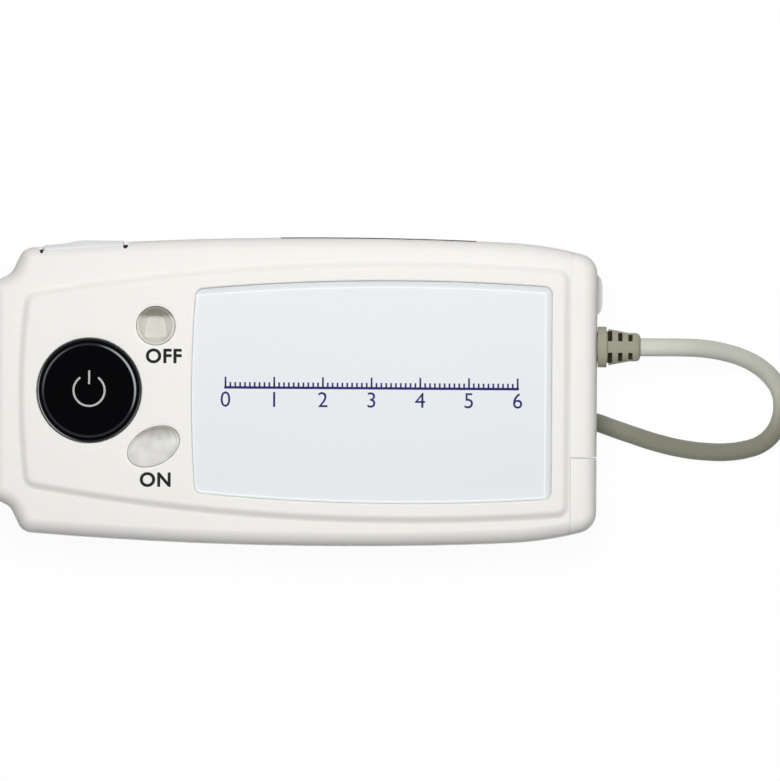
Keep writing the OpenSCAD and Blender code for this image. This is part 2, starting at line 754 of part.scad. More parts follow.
module end_cap() {
    color("#F2EFEA") difference() {
        end_block(cover_seam_y, far);
        boot_neck(0.1, 0, far);
        box(end_x - strap_pocket_d + strap_proud - strap_t, far, strap_y - strap_l / 2,
            strap_y + strap_l / 2, strap_z0, strap_z0 + strap_pocket_h);
        box(0, far, channel_y0, channel_y1, -1, channel_z1);
    }
}

module port_cover() {
    color("#F2EFEA") {
        difference() {
            end_block(-far, cover_seam_y - seam_gap);
            box(0, end_x - wall, socket_y - socket_r - 0.4, socket_y + socket_r + 0.4,
                socket_z - socket_r - 0.4, socket_z + socket_r + 0.4);
        }
        prongs(0, cap_x0 + 1);
    }
}

module strap_bar() {
    w = strap_w / 2;
    x1 = end_x + strap_proud;
    seat = x1 - strap_t;
    half = strap_l / 2;
    color("#E9E7E1") translate([0, 0, strap_z - w]) linear_extrude(strap_w)
        polygon([[end_x - 1.6, strap_y - half + 0.05], [end_x - 0.2, strap_y - half + 0.05],
            [x1 - 0.3, strap_y - half + 1], [x1, strap_y - half + 2.2],
            [x1, strap_y + half - 2.2], [x1 - 0.3, strap_y + half - 1],
            [end_x - 0.2, strap_y + half - 0.05], [end_x - 1.6, strap_y + half - 0.05],
            [end_x - 1.6, strap_y + half - 0.9], [seat, strap_y + half - 2],
            [seat, strap_y - half + 2], [end_x - 1.6, strap_y - half + 0.9]]);
}

module display_lens() {
    color("#E6EBEF") translate([0, 0, lens_z0]) linear_extrude(lens_t) polygon(lens_outline(0));
}

module lens_tape() {
    color("#303236") translate([0, 0, recess_z]) linear_extrude(tape_t) difference() {
        polygon(lens_outline(0.2));
        polygon(lens_outline(ledge_w - 0.2));
    }
}

module display_panel() {
    color("#BFCBD4") box(panel_x0, panel_x1, -panel_hw, panel_hw, panel_z0, panel_z1);
}

module display_light() {
    color("#F7F7F2") box(panel_x0, panel_x1, -panel_hw, panel_hw, light_z0, panel_z0);
}

module display_frame() {
    color("#C9CCCE") difference() {
        box(panel_x0 - panel_frame_t, panel_x1 + panel_frame_t, -panel_hw - panel_frame_t,
            panel_hw + panel_frame_t, board_z1, panel_z1);
        box(panel_x0 - 0.1, panel_x1 + 0.1, -panel_hw - 0.1, panel_hw + 0.1, light_z0, far);
    }
}

module main_key() {
    top = field_z + main_key_rise;
    color("#111214") union() {
        main_key_disc(main_key_r + key_flange_w, key_z0, key_z1);
        translate([main_key_x, 0, 0]) rotate_extrude($fn = 96)
            polygon([[0, key_z0], [main_key_r, key_z0], [main_key_r, top - 0.9],
                [main_key_r - 0.25, top - 0.35], [main_key_r - 0.8, top],
                [main_key_r - 1.5, top - 0.12], [main_key_r - 1.9, top - 0.2], [0, top - 0.2]]);
    }
}

module stop_key() {
    top = field_z + small_key_rise;
    dish = 9;
    color("#C9C6BD") difference() {
        union() {
            stop_key_disc(stop_key_r + key_flange_w, key_z0, key_z1);
            stop_key_disc(stop_key_r, key_z0, top);
        }
        translate([stop_key_x, stop_key_y, top + dish - 0.7]) sphere(r = dish, $fn = 64);
    }
}

module start_key() {
    top = field_z + small_key_rise;
    dish = 14;
    color("#DEDBD4") difference() {
        union() {
            start_key_disc(key_flange_w, key_z0, key_z1);
            start_key_disc(0, key_z0, top);
        }
        translate([start_key_x, start_key_y, top + dish - 0.7]) sphere(r = dish, $fn = 64);
    }
}

module tact_switches() {
    for (s = [[main_key_x, 0], [stop_key_x, stop_key_y], [start_key_x, start_key_y]])
        color("#2A2B2E") translate([s[0], s[1], board_z1]) union() {
            translate([-switch_w / 2, -switch_w / 2, 0]) cube([switch_w, switch_w, switch_h - 0.7]);
            cylinder(d = switch_w / 2, h = switch_h);
        }
}

module main_board() {
    color("#1E6B3F") difference() {
        box(board_x0, board_x1, -board_hw, board_hw, board_z0, board_z1);
        for (s = boss_spots) post(s, board_screw_r + 0.2, 0, far);
        for (s = post_spots) post(s, post_r + 0.3, 0, far);
        box(board_x1 - 4, far, boot_y - 4.2, boot_y + 4.2, 0, far);
    }
}

module main_chip() {
    color("#222326") box(chip_x0, chip_x0 + chip_l, chip_y0, chip_y0 + chip_l,
        board_z0 - chip_h, board_z0);
}

module shield_can() {
    color("#B9BCBE") box(can_x0, can_x0 + can_l, can_y0, can_y0 + can_w, board_z0 - can_h, board_z0);
}

module buzzer() {
    color("#26272A") post([chip_x0 - buzzer_gap - buzzer_r, -board_hw + buzzer_r + buzzer_side], buzzer_r,
        board_z0 - buzzer_h, board_z0);
}

module cable_header() {
    color("#E8E4D8") box(header_x1 - header_l, header_x1, header_y1 - header_w, header_y1,
        board_z0 - header_h, board_z0);
}

// The lead's core, from the boot's neck down to the header under the board
module cable_core() {
    drop_z = board_z0 - core_d / 2 - 0.5;
    spots = [[neck_x0 - 0.2, boot_y, boot_z], [board_x1 + 1.5, boot_y, boot_z - 0.6],
        [board_x1 - 1.9, boot_y - 2, drop_z], [header_x1 + 0.4, header_y1 - 4, drop_z]];
    color("#8D8A80") tube(spots, core_d, 8);
}

// A tube through a list of points, with its ends square to the first and last step
module tube(spots, d, sides) {
    n = len(spots);
    along = [for (i = [0:n - 1]) unit(spots[min(i + 1, n - 1)] - spots[max(i - 1, 0)])];
    points = [for (i = [0:n - 1])
        let (side = unit(cross([0, 0, 1], along[i])), up = cross(along[i], side))
        for (k = [0:sides - 1]) let (a = 360 * k / sides)
            spots[i] + d / 2 * (cos(a) * side + sin(a) * up)];
    polyhedron(points = points,
        faces = concat([[for (i = [0:sides - 1]) i]],
            [[for (i = [sides - 1:-1:0]) (n - 1) * sides + i]],
            [for (j = [0:n - 2]) for (k = [0:sides - 1]) for (t = [0, 1])
                let (a = j * sides + k, b = j * sides + (k + 1) % sides)
                t == 0 ? [a, b + sides, b] : [a, a + sides, b + sides]]),
        convexity = 6);
}

module lead_socket() {
    color("#2A2B2E") difference() {
        union() {
            socket_hole(shell_x1 - wall - socket_l, shell_x1 - 0.2);
            box(shell_x1 - wall - socket_l - 1, shell_x1 - wall - 0.3, socket_y - socket_r - 0.3,
                socket_y + socket_r + 0.3, socket_z - socket_r - 0.6, socket_z + socket_r + 0.3);
        }
        translate([shell_x1 - socket_l - 1, socket_y, socket_z]) rotate([0, 90, 0])
            cylinder(r = jack_r, h = far);
    }
}

module finger_electrode() {
    color("#D8DADB") side_band(finger_x0, finger_x1, finger_z0, finger_z1, finger_proud, finger_t);
}

module chest_electrode() {
    color("#D8DADB") chest_plate(0, -end_x - chest_proud, -end_x + wall);
}

module palm_electrode() {
    color("#D8DADB") palm_plate(0, 0.05, palm_t);
}

// Contact pins from the board to the finger, chest and palm electrodes
module electrode_contacts() {
    color("#C9A24A") {
        finger_pin(pin_r, 0);
        translate([-end_x + wall + 0.1, 0, contact_z]) rotate([0, 90, 0])
            cylinder(r = pin_r, h = board_x0 + end_x - wall - 0.2);
        post([palm_pin_x, palm_pin_y], pin_r + 0.1, palm_t + 0.05, board_z0 - 0.05);
    }
}

module finger_pin(r, over) {
    translate([finger_pin_x, board_hw + 0.1, contact_z]) rotate([-90, 0, 0])
        cylinder(r = r, h = finger_back_y - board_hw - 0.2 + over);
}

module battery_door() {
    color("#EFECE6") union() {
        side_loft(rear_sides, -far, door_x1, -door_hw, door_hw, 0, door_t);
        side_loft(rear_sides, -far, door_x1, -door_hw - rail_w, door_hw + rail_w,
            rail_z0, rail_z0 + rail_t);
    }
}

module cell(y, flip) {
    translate([(cell_x0 + cell_x1) / 2, y, cell_z]) rotate([0, flip ? -90 : 90, 0])
        translate([0, 0, -cell_l / 2]) union() {
            cylinder(d = cell_d, h = cell_l - nub_h);
            cylinder(d = nub_d, h = cell_l);
        }
}

module battery_left() {
    color("#4A4F57") cell(cell_y, false);
}

module battery_right() {
    color("#4A4F57") cell(-cell_y, true);
}

// Contact plates at both ends of the bay
module battery_contacts() {
    color("#C6C8CA") for (y = [-cell_y, cell_y]) {
        box(bay_x0 + 0.05, bay_x0 + contact_t, y - contact_hw, y + contact_hw,
            cell_z - contact_hw - 0.3, cell_z + contact_hw - 0.3);
        box(bay_x1 - contact_t, bay_x1 - 0.05, y - contact_hw, y + contact_hw,
            cell_z - contact_hw - 0.3, cell_z + contact_hw - 0.3);
    }
}

module case_screws() {
    color("#8C8F93") for (s = post_spots) union() {
        post(s, head_r, counterbore - head_t, counterbore);
        post(s, screw_r, counterbore - 0.2, screw_z1);
    }
}

module board_screws() {
    color("#8C8F93") for (s = boss_spots) union() {
        post(s, 1.7, board_z0 - 1.2, board_z0);
        post(s, board_screw_r, board_z0 - 0.2, board_z1 + boss_bite);
    }
}

// The boot that the lead leaves the end cap through, with pockets beside its spine
module cable_boot() {
    root_r = boot_root_d / 2;
    tip_r = boot_tip_d / 2;
    body_r = root_r - 0.45;
    groove_x = boot_flange_l + boot_groove_w;
    taper_x = boot_l - 2.3;
    color("#9A9682") difference() {
        union() {
            boot_neck(0, neck_x0, end_x + 0.5);
            translate([end_x + 0.05, boot_y, boot_z]) rotate([0, 90, 0]) rotate_extrude($fn = 64)
                polygon([[0, 0], [root_r, 0], [root_r, boot_flange_l],
                    [body_r - 0.5, boot_flange_l], [body_r - 0.5, groove_x],
                    [body_r, groove_x], [tip_r, taper_x], [tip_r, boot_l - 0.85],
                    [tip_r - 0.25, boot_l - 0.35], [tip_r - 0.8, boot_l - 0.05],
                    [0, boot_l - 0.05]]);
        }
        for (k = [0:2]) {
            x = groove_x + 0.3 + boot_slot_pitch * k;
            rim_y = body_r - boot_rim_t
                + (tip_r - body_r) * min(1, (x - groove_x) / (taper_x - groove_x));
            spine_y = boot_spine_w / 2;
            for (s = [-1, 1]) for (t = [-1, 1])
                translate([end_x + 0.05 + x, boot_y + s * (rim_y + spine_y) / 2,
                    boot_z + t * (boot_web_t / 2 + 10)])
                    cube([boot_slot_w, rim_y - spine_y, 20], center = true);
        }
    }
}

module cord_run() {
    color("#A9A796") tube(cord_route, cord_d, cord_sides);
}

module plug_grip() {
    color("#8F8C7C") translate([grip_x0, plug_y, plug_z]) rotate([90, 0, 90])
        linear_extrude(grip_l) polygon(rounded(grip_w, grip_t, 2));
}

module plug_shell() {
    color("#C6C8CA") difference() {
        box(shell_x0, grip_x0, plug_y - shell_w / 2, plug_y + shell_w / 2, plug_z - shell_t / 2,
            plug_z + shell_t / 2);
        box(shell_x0 - 1, grip_x0 - 0.4, plug_y - shell_w / 2 + shell_sheet,
            plug_y + shell_w / 2 - shell_sheet, plug_z - shell_t / 2 + shell_sheet,
            plug_z + shell_t / 2 - shell_sheet);
    }
}

module plug_tongue() {
    color("#F2F2F0") box(shell_x0 + 0.5, grip_x0 - 0.4, plug_y - shell_w / 2 + shell_sheet + 0.1,
        plug_y + shell_w / 2 - shell_sheet - 0.1, plug_z + 0.1,
        plug_z + shell_t / 2 - shell_sheet - 0.05);
}

front_shell();
rear_shell();
end_cap();
port_cover();
strap_bar();
display_lens();
lens_tape();
display_panel();
display_light();
display_frame();
main_key();
stop_key();
start_key();
tact_switches();
main_board();
main_chip();
shield_can();
buzzer();
cable_header();
cable_core();
lead_socket();
finger_electrode();
chest_electrode();
palm_electrode();
electrode_contacts();
battery_door();
battery_left();
battery_right();
battery_contacts();
case_screws();
board_screws();
cable_boot();
cord_run();
plug_grip();
plug_shell();
plug_tongue();
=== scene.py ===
"""Dresses the handheld heart monitor: housing, window, keys, electrodes and captive lead.

Sizes are in millimetres until a mesh is made, because the monitor was drawn in millimetres.
"""

from __future__ import annotations

import json
import logging
import math
from dataclasses import dataclass
from enum import Enum
from typing import Any, Callable, Iterable, Sequence

import bmesh
import bpy
from mathutils import Matrix, Vector

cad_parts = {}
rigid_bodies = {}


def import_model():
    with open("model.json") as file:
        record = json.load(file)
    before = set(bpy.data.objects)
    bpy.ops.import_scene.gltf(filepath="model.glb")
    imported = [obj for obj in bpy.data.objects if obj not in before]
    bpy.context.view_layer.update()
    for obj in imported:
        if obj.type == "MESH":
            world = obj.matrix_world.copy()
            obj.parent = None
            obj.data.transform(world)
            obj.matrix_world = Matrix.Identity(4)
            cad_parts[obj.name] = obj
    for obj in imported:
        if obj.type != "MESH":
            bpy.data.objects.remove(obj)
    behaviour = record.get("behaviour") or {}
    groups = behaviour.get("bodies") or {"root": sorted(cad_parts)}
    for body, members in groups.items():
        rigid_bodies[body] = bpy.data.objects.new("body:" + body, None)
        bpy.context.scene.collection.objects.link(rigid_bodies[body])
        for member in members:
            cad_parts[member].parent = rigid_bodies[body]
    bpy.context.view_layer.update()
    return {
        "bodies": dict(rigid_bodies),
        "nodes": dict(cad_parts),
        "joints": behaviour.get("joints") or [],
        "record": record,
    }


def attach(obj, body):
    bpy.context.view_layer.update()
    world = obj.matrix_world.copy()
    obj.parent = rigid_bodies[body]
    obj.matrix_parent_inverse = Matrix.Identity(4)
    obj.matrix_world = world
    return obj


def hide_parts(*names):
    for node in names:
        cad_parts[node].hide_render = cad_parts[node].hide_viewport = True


LOG = logging.getLogger("heart_monitor")
MM = 0.001
HOUSING_BODY = "housing"
FAR = 99.0
BLACK = (0.0, 0.0, 0.0, 1.0)
WHITE = (1.0, 1.0, 1.0, 1.0)

FRAME: dict[str, Any] = {}

Point2 = tuple[float, float]
Point3 = tuple[float, float, float]
Colour = tuple[float, float, float]
SocketName = tuple[str, str]


def frame_nodes() -> dict[str, bpy.types.Object]:
    """The CAD nodes by name."""
    return FRAME["nodes"]


class Cut(Enum):
    """How one solid meets another."""

    AWAY = "DIFFERENCE"
    KEEP = "INTERSECT"
    JOIN = "UNION"


# Outlines


@dataclass(frozen=True)
class Circle:
    """A circle that an outline runs round. A negative radius is a hollow."""

    x: float
    y: float
    radius: float
    steps: int
    trimmed: bool = False

    def mirrored(self) -> Circle:
        """The same circle on the other side of the centreline."""
        return Circle(self.x, -self.y, self.radius, self.steps, self.trimmed)


def leave_angle(a: Circle, b: Circle) -> float:
    """Direction from circle a's centre to its tangent point towards circle b.

    Args:
        a: The circle that the outline leaves.
        b: The circle that the outline reaches.

    Returns:
        The angle in radians.
    """
    dx, dy = b.x - a.x, b.y - a.y
    lean = (a.radius - b.radius) / math.hypot(dx, dy)
    return math.atan2(dy, dx) - math.acos(max(-1.0, min(1.0, lean)))


def ring_points(circles: Sequence[Circle]) -> list[Point2]:
    """Points of the outline that runs round a ring of circles.

    Args:
        circles: The circles in counter-clockwise order.

    Returns:
        The points, counter-clockwise.
    """
    points: list[Point2] = []
    count = len(circles)
    for i, circle in enumerate(circles):
        start = leave_angle(circles[i - 1], circle)
        sweep = leave_angle(circle, circles[(i + 1) % count]) - start
        sweep -= 2 * math.pi * round(sweep / (2 * math.pi))
        trim = 1 if circle.trimmed else 0
        for k in range(trim, circle.steps + 1 - trim):
            angle = start + sweep * k / circle.steps
            points.append(
                (
                    circle.x + circle.radius * math.cos(angle),
                    circle.y + circle.radius * math.sin(angle),
                )
            )
    return points


def both_halves(upper: Sequence[Circle]) -> list[Circle]:
    """The whole ring of circles from its upper half."""
    return list(upper) + [circle.mirrored() for circle in reversed(upper)]


def smooth_step(t: float) -> float:
    """A curve from 0 to 1 that starts and ends level."""
    return t * t * (3 - 2 * t)


def slow_step(t: float) -> float:
    """A curve from 0 to 1 that starts and ends level for longer."""
    return t**3 * (10 - 15 * t + 6 * t * t)


@dataclass(frozen=True)
class HousingPlan:
    """The housing's outline in plan, with two notches beside the tongue at its left end."""

    length: float = 125.0
    width: float = 63.58
    bow_radius: float = 800.0
    bow_x: float = 8.0
    hip_in: float = 18.5
    hip_radius: float = 75.0
    corner_radius: float = 4.3
    tongue_half: float = 23.0
    tongue_radius: float = 2.7
    shoulder_radius: float = 3.2
    shoulder_in: float = 8.8
    notch_radius: float = 3.4
    notch_in: float = 1.7
    notch_out: float = 0.2
    least_radius: float = 0.35
    corner_steps: int = 10
    side_steps: int = 40
    hip_steps: int = 12
    small_steps: int = 9

    @property
    def end_x(self) -> float:
        """Distance from the middle to each end."""
        return self.length / 2

    @property
    def bow_y(self) -> float:
        """Centre of the upper bowed side."""
        return self.width / 2 - self.bow_radius

    @property
    def hip(self) -> Circle:
        """The tighter circle that the upper side turns in on, towards the lead end."""
        reach = self.bow_radius - self.hip_radius
        turn = math.asin((self.end_x - self.hip_in - self.bow_x) / self.bow_radius)
        return Circle(
            self.bow_x + reach * math.sin(turn), self.bow_y + reach * math.cos(turn),
            self.hip_radius, self.hip_steps, True,
        )

    def side_y(self, x: float) -> float:
        """Distance from the centreline to the bowed side at a place along the length."""
        return self.bow_y + math.sqrt(self.bow_radius**2 - (x - self.bow_x) ** 2)

    def outline(self, inset: float) -> list[Point2]:
        """The outline moved in by a distance.

        Args:
            inset: How far in the outline lies.

        Returns:
            The points of the outline.
        """
        hip = self.hip
        corner = max(self.corner_radius - inset, self.least_radius)
        corner_x = self.end_x - inset - corner
        corner_y = hip.y + math.sqrt(
            (hip.radius - inset - corner) ** 2 - (corner_x - hip.x) ** 2
        )
        shoulder = max(self.shoulder_radius - inset, self.least_radius)
        shoulder_x = -self.end_x + self.shoulder_in + inset + shoulder - self.shoulder_radius
        shoulder_y = self.bow_y + math.sqrt(
            (self.bow_radius - inset - shoulder) ** 2 - (shoulder_x - self.bow_x) ** 2
        )
        tongue = max(self.tongue_radius - inset, self.least_radius)
        upper = [
            Circle(corner_x, corner_y, corner, self.corner_steps),
            Circle(hip.x, hip.y, hip.radius - inset, hip.steps, True),
            Circle(self.bow_x, self.bow_y, self.bow_radius - inset, self.side_steps, True),
            Circle(shoulder_x, shoulder_y, shoulder, self.small_steps),
            Circle(
                -self.end_x + self.notch_in,
                self.tongue_half + self.notch_radius + self.notch_out,
                -self.notch_radius - inset,
                self.small_steps,
            ),
            Circle(
                -self.end_x + inset + tongue,
                self.tongue_half - inset - tongue,
                tongue,
                self.small_steps,
            ),
        ]
        return ring_points(both_halves(upper))


@dataclass(frozen=True)
class BowedPlan:
    """A four-cornered outline with bowed long edges and, if asked, a bowed left end."""

    x0: float
    x1: float
    half_width: float
    bow_x: float
    bow_radius: float
    corner_radius: float
    end_radius: float
    least_radius: float = 0.3
    corner_steps: int = 10
    side_steps: int = 36
    end_steps: int = 14

    def outline(self, inset: float) -> list[Point2]:
        """The outline moved in by a distance, or out by a negative one.

        Args:
            inset: How far in the outline lies.

        Returns:
            The points of the outline.
        """
        corner = max(self.corner_radius - inset, self.least_radius)
        bow_y = self.half_width - self.bow_radius
        side = self.bow_radius - inset
        right_x = self.x1 - inset - corner
        right_y = bow_y + math.sqrt((side - corner) ** 2 - (right_x - self.bow_x) ** 2)
        upper = [
            Circle(right_x, right_y, corner, self.corner_steps),
            Circle(self.bow_x, bow_y, side, self.side_steps, True),
            Circle(*self.left_seat(bow_y, side, inset, corner), corner, self.corner_steps),
        ]
        end = Circle(self.x0 + self.end_radius, 0, self.end_radius - inset, self.end_steps, True)
        lower = [circle.mirrored() for circle in reversed(upper)]
        return ring_points([*upper, end, *lower])

    def left_seat(self, bow_y: float, side: float, inset: float, corner: float) -> Point2:
        """Centre of the left corner, which touches the long edge and the left end.

        Args:
            bow_y: Centre of the long edge.
            side: Radius of the long edge.
            inset: How far in the outline lies.
            corner: Radius of the corner.

        Returns:
            The centre.
        """
        long_reach = side - corner
        end_reach = self.end_radius - inset - corner
        towards = Vector((self.x0 + self.end_radius - self.bow_x, -bow_y))
        span = towards.length
        along = (long_reach**2 - end_reach**2 + span**2) / (2 * span)
        across = math.sqrt(long_reach**2 - along**2)
        x = self.bow_x + (along * towards.x - across * towards.y) / span
        y = bow_y + (along * towards.y + across * towards.x) / span
        return (x, y)


HOUSING = HousingPlan()
FIELD = BowedPlan(-57.1, 57.3, 27.35, 22.0, 430.0, 3.2, 150.0)
WINDOW = BowedPlan(-20.9, 53.0, 22.85, 21.5, 440.0, 1.6, 265.0)


@dataclass(frozen=True)
class Levels:
    """Heights of the housing's parts above the surface that it lies on."""

    split: float = 11.0
    rim: float = 21.0
    field: float = 22.0
    ceiling: float = 19.4
    top_edge: float = 2.8
    base_edge: float = 5.0
    rear_draft: float = 1.0
    front_draft: float = 0.25
    wall: float = 2.0
    window: float = 21.4
    shell_x1: float = 56.8


LEVELS = Levels()


# Meshes


class Form:
    """Collects closed surfaces in millimetres and makes one object of them in metres."""

    def __init__(self, name: str) -> None:
        """Starts an empty form.

        Args:
            name: The object's name.
        """
        self.name = name
        self.mesh = bmesh.new()

    def loft(self, rings: Sequence[Sequence[Point3]]) -> None:
        """Adds a closed skin through rings of equal point count.

        Args:
            rings: The rings, lowest first, each counter-clockwise.
        """
        rows = [[self.mesh.verts.new(point) for point in ring] for ring in rings]
        count = len(rows[0])
        self.mesh.faces.new(list(reversed(rows[0])))
        self.mesh.faces.new(rows[-1])
        for low, high in zip(rows, rows[1:]):
            for i in range(count):
                j = (i + 1) % count
                self.mesh.faces.new((low[i], low[j], high[j], high[i]))

    def prism(self, outline: Sequence[Point2], z0: float, z1: float) -> None:
        """Adds an upright prism.

        Args:
            outline: Its outline, counter-clockwise.
            z0: Its lower height.
            z1: Its upper height.
        """
        self.loft([[(x, y, z) for x, y in outline] for z in (z0, z1)])

    def box(self, low: Point3, high: Point3) -> None:
        """Adds a box.

        Args:
            low: Its lowest corner.
            high: Its highest corner.
        """
        (x0, y0, z0), (x1, y1, z1) = low, high
        self.prism([(x0, y0), (x1, y0), (x1, y1), (x0, y1)], z0, z1)

    def spun(
        self, profile: Sequence[Point2], centre: Point2, steps: int, squeeze: float = 1.0,
        turn: float = 0.0,
    ) -> None:
        """Adds a closed solid of revolution about an upright axis.

        Args:
            profile: (radius, height) pairs from the bottom's axis out and back to the top's axis.
            centre: The axis in plan.
            steps: Points round each ring.
            squeeze: Width of the second axis against the first.
            turn: Turn of the first axis in radians.
        """
        ends = [self.mesh.verts.new((*centre, profile[0][1]))]
        ends.append(self.mesh.verts.new((*centre, profile[-1][1])))
        rows = []
        for radius, height in profile[1:-1]:
            ring = []
            for k in range(steps):
                angle = 2 * math.pi * k / steps
                along = radius * math.cos(angle)
                across = radius * squeeze * math.sin(angle)
                ring.append(
                    self.mesh.verts.new(
                        (
                            centre[0] + along * math.cos(turn) - across * math.sin(turn),
                            centre[1] + along * math.sin(turn) + across * math.cos(turn),
                            height,
                        )
                    )
                )
            rows.append(ring)
        for k in range(steps):
            j = (k + 1) % steps
            self.mesh.faces.new((ends[0], rows[0][j], rows[0][k]))
            self.mesh.faces.new((ends[1], rows[-1][k], rows[-1][j]))
            for low, high in zip(rows, rows[1:]):
                self.mesh.faces.new((low[k], low[j], high[j], high[k]))

    def made(self) -> bpy.types.Object:
        """Makes the object, with its place in its mesh.

        Returns:
            The new object.
        """
        data = bpy.data.meshes.new(self.name)
        self.mesh.to_mesh(data)
        self.mesh.free()
        data.transform(Matrix.Scale(MM, 4))
        made = bpy.data.objects.new(self.name, data)
        bpy.context.scene.collection.objects.link(made)
        return made


def prism_solid(
    outline: Sequence[Point2], z0: float, z1: float, name: str = "tool"
) -> bpy.types.Object:
    """An upright prism.

    Args:
        outline: Its outline, counter-clockwise.
        z0: Its lower height.
        z1: Its upper height.
        name: The object's name.

    Returns:
        The prism.
    """
    form = Form(name)
    form.prism(outline, z0, z1)
    return form.made()


def box_solid(low: Point3, high: Point3, name: str = "tool") -> bpy.types.Object:
    """A box between two corners.

    Args:
        low: Its lowest corner.
        high: Its highest corner.
        name: The object's name.

    Returns:
        The box.
    """
    form = Form(name)
    form.box(low, high)
    return form.made()


def skin_solid(
    plan: HousingPlan | BowedPlan, steps: Sequence[Point2], name: str = "tool"
) -> bpy.types.Object:
    """A closed skin through a plan's outline at several heights.

    Args:
        plan: The plan.
        steps: (height, inset) pairs, lowest first.
        name: The object's name.

    Returns:
        The skin.
    """
    form = Form(name)
    form.loft([[(x, y, z) for x, y in plan.outline(inset)] for z, inset in steps])
    return form.made()


def settle(piece: bpy.types.Object) -> None:
    """Turns a piece's modifiers into plain mesh.

    Args:
        piece: The piece to settle.
    """
    graph = bpy.context.evaluated_depsgraph_get()
    result = bpy.data.meshes.new_from_object(piece.evaluated_get(graph))
    piece.modifiers.clear()
    old = piece.data
    piece.data = result
    bpy.data.meshes.remove(old)


def cut(piece: bpy.types.Object, tool: bpy.types.Object, how: Cut = Cut.AWAY) -> None:
    """Cuts a piece with a tool solid, and takes the tool away.

    Args:
        piece: The piece that changes.
        tool: The solid that it meets.
        how: Whether the tool is cut away, kept in common or joined on.
    """
    change = piece.modifiers.new("cut", "BOOLEAN")
    change.object = tool
    change.operation = how.value
    change.solver = "EXACT"
    settle(piece)
    bpy.data.objects.remove(tool)


def smooth(piece: bpy.types.Object, angle: float = 32.0) -> None:
    """Shades a piece smooth across gentle angles and flat on its large faces.

    Args:
        piece: The piece to shade.
        angle: The steepest angle in degrees that still shades smooth.
    """
    piece.data.shade_smooth()
    piece.data.set_sharp_from_angle(angle=math.radians(angle))
    weights = piece.modifiers.new("weights", "WEIGHTED_NORMAL")
    weights.keep_sharp = True
    settle(piece)


def eased(piece: bpy.types.Object, width: float, steps: int = 2, angle: float = 35.0) -> None:
    """Rounds a piece's sharp edges.

    Args:
        piece: The piece to round.
        width: Width of the rounding in millimetres.
        steps: Segments of the rounding.
        angle: The gentlest angle in degrees that is rounded.
    """
    bevel = piece.modifiers.new("ease", "BEVEL")
    bevel.width = width * MM
    bevel.segments = steps
    bevel.limit_method = "ANGLE"
    bevel.angle_limit = math.radians(angle)
    bevel.use_clamp_overlap = True
    settle(piece)


def merged_copy(node: str, name: str) -> bpy.types.Object:
    """A copy of a CAD node with its loose triangles merged.

    Args:
        node: The CAD node's name.
        name: The copy's name.

    Returns:
        The copy.
    """
    source = frame_nodes()[node]
    data = source.data.copy()
    data.materials.clear()
    work = bmesh.new()
    work.from_mesh(data)
    bmesh.ops.remove_doubles(work, verts=work.verts, dist=0.00001)
    bmesh.ops.dissolve_limit(
        work, angle_limit=math.radians(0.5), verts=work.verts, edges=work.edges
    )
    work.to_mesh(data)
    work.free()
    made = bpy.data.objects.new(name, data)
    bpy.context.scene.collection.objects.link(made)
    return made


def in_place(
    piece: bpy.types.Object, finish: Finish, slot: str, body: str, *nodes: str
) -> bpy.types.Object:
    """Gives a finished piece its material and body, and hides the CAD nodes that it stands for.

    Args:
        piece: The finished piece.
        finish: Its finish.
        slot: Not used.
        body: The body that it rides on.
        nodes: The CAD nodes that it stands for.

    Returns:
        The piece.
    """
    piece.data.materials.clear()
    piece.data.materials.append(finish.made())
    if nodes:
        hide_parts(*nodes)
    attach(piece, body)
    LOG.info("%s rides on %s", piece.name, body)
    return piece


# What repeats


def repeat_group() -> bpy.types.NodeTree:
    """The shared tree that repeats a piece in a row.

    Returns:
        The geometry node tree.
    """
    name = "row of pieces"
    if name in bpy.data.node_groups:
        return bpy.data.node_groups[name]
    kit, source, target = new_group(
        name, "GeometryNodeTree",
        (
            ("Geometry", "Geometry"), ("Piece", "Object"), ("Count", "Int"),
            ("Start", "Vector"), ("Step", "Vector"), ("Finish", "Material"),
        ),
        (("Geometry", "Geometry"),),
    )
    line = kit.add("GeometryNodeMeshLine", mode="OFFSET")
    kit.join(source.outputs["Count"], line.inputs["Count"])
    kit.join(source.outputs["Start"], line.inputs["Start Location"])
    kit.join(source.outputs["Step"], line.inputs["Offset"])
    piece = kit.add("GeometryNodeObjectInfo")
    kit.join(source.outputs["Piece"], piece.inputs["Object"])
    placed = kit.add("GeometryNodeInstanceOnPoints")
    kit.join(line.outputs["Mesh"], placed.inputs["Points"])
    kit.join(piece.outputs["Geometry"], placed.inputs["Instance"])
    real = kit.add("GeometryNodeRealizeInstances")
    kit.join(placed.outputs["Instances"], real.inputs[0])
    dressed = kit.add("GeometryNodeSetMaterial")
    kit.join(real.outputs[0], dressed.inputs["Geometry"])
    kit.join(source.outputs["Finish"], dressed.inputs["Material"])
    kit.join(dressed.outputs[0], target.inputs[0])
    return kit.tree


def row(
    name: str, piece: bpy.types.Object, count: int, start: Point3, step: Point3,
    material: bpy.types.Material | None = None,
) -> bpy.types.Object:
    """Repeats a piece in a row and makes one plain mesh of it.

    Args:
        name: The row's name.
        piece: The piece at the origin, which is taken away afterwards.
        count: How many there are.
        start: Place of the first in millimetres.
        step: Step from one to the next in millimetres.
        material: Its material, or none for a cutting tool.

    Returns:
        The row.
    """
    holder = bpy.data.objects.new(name, bpy.data.meshes.new(name))
    bpy.context.scene.collection.objects.link(holder)
    change = holder.modifiers.new("row", "NODES")
    change.node_group = repeat_group()
    values = {
        "Piece": piece,
        "Count": count,
        "Start": tuple(value * MM for value in start),
        "Step": tuple(value * MM for value in step),
        "Finish": material,
    }
    for item in change.node_group.interface.items_tree:
        if item.in_out == "INPUT" and item.name in values:
            change[item.identifier] = values[item.name]
    settle(holder)
    bpy.data.objects.remove(piece)
    return holder


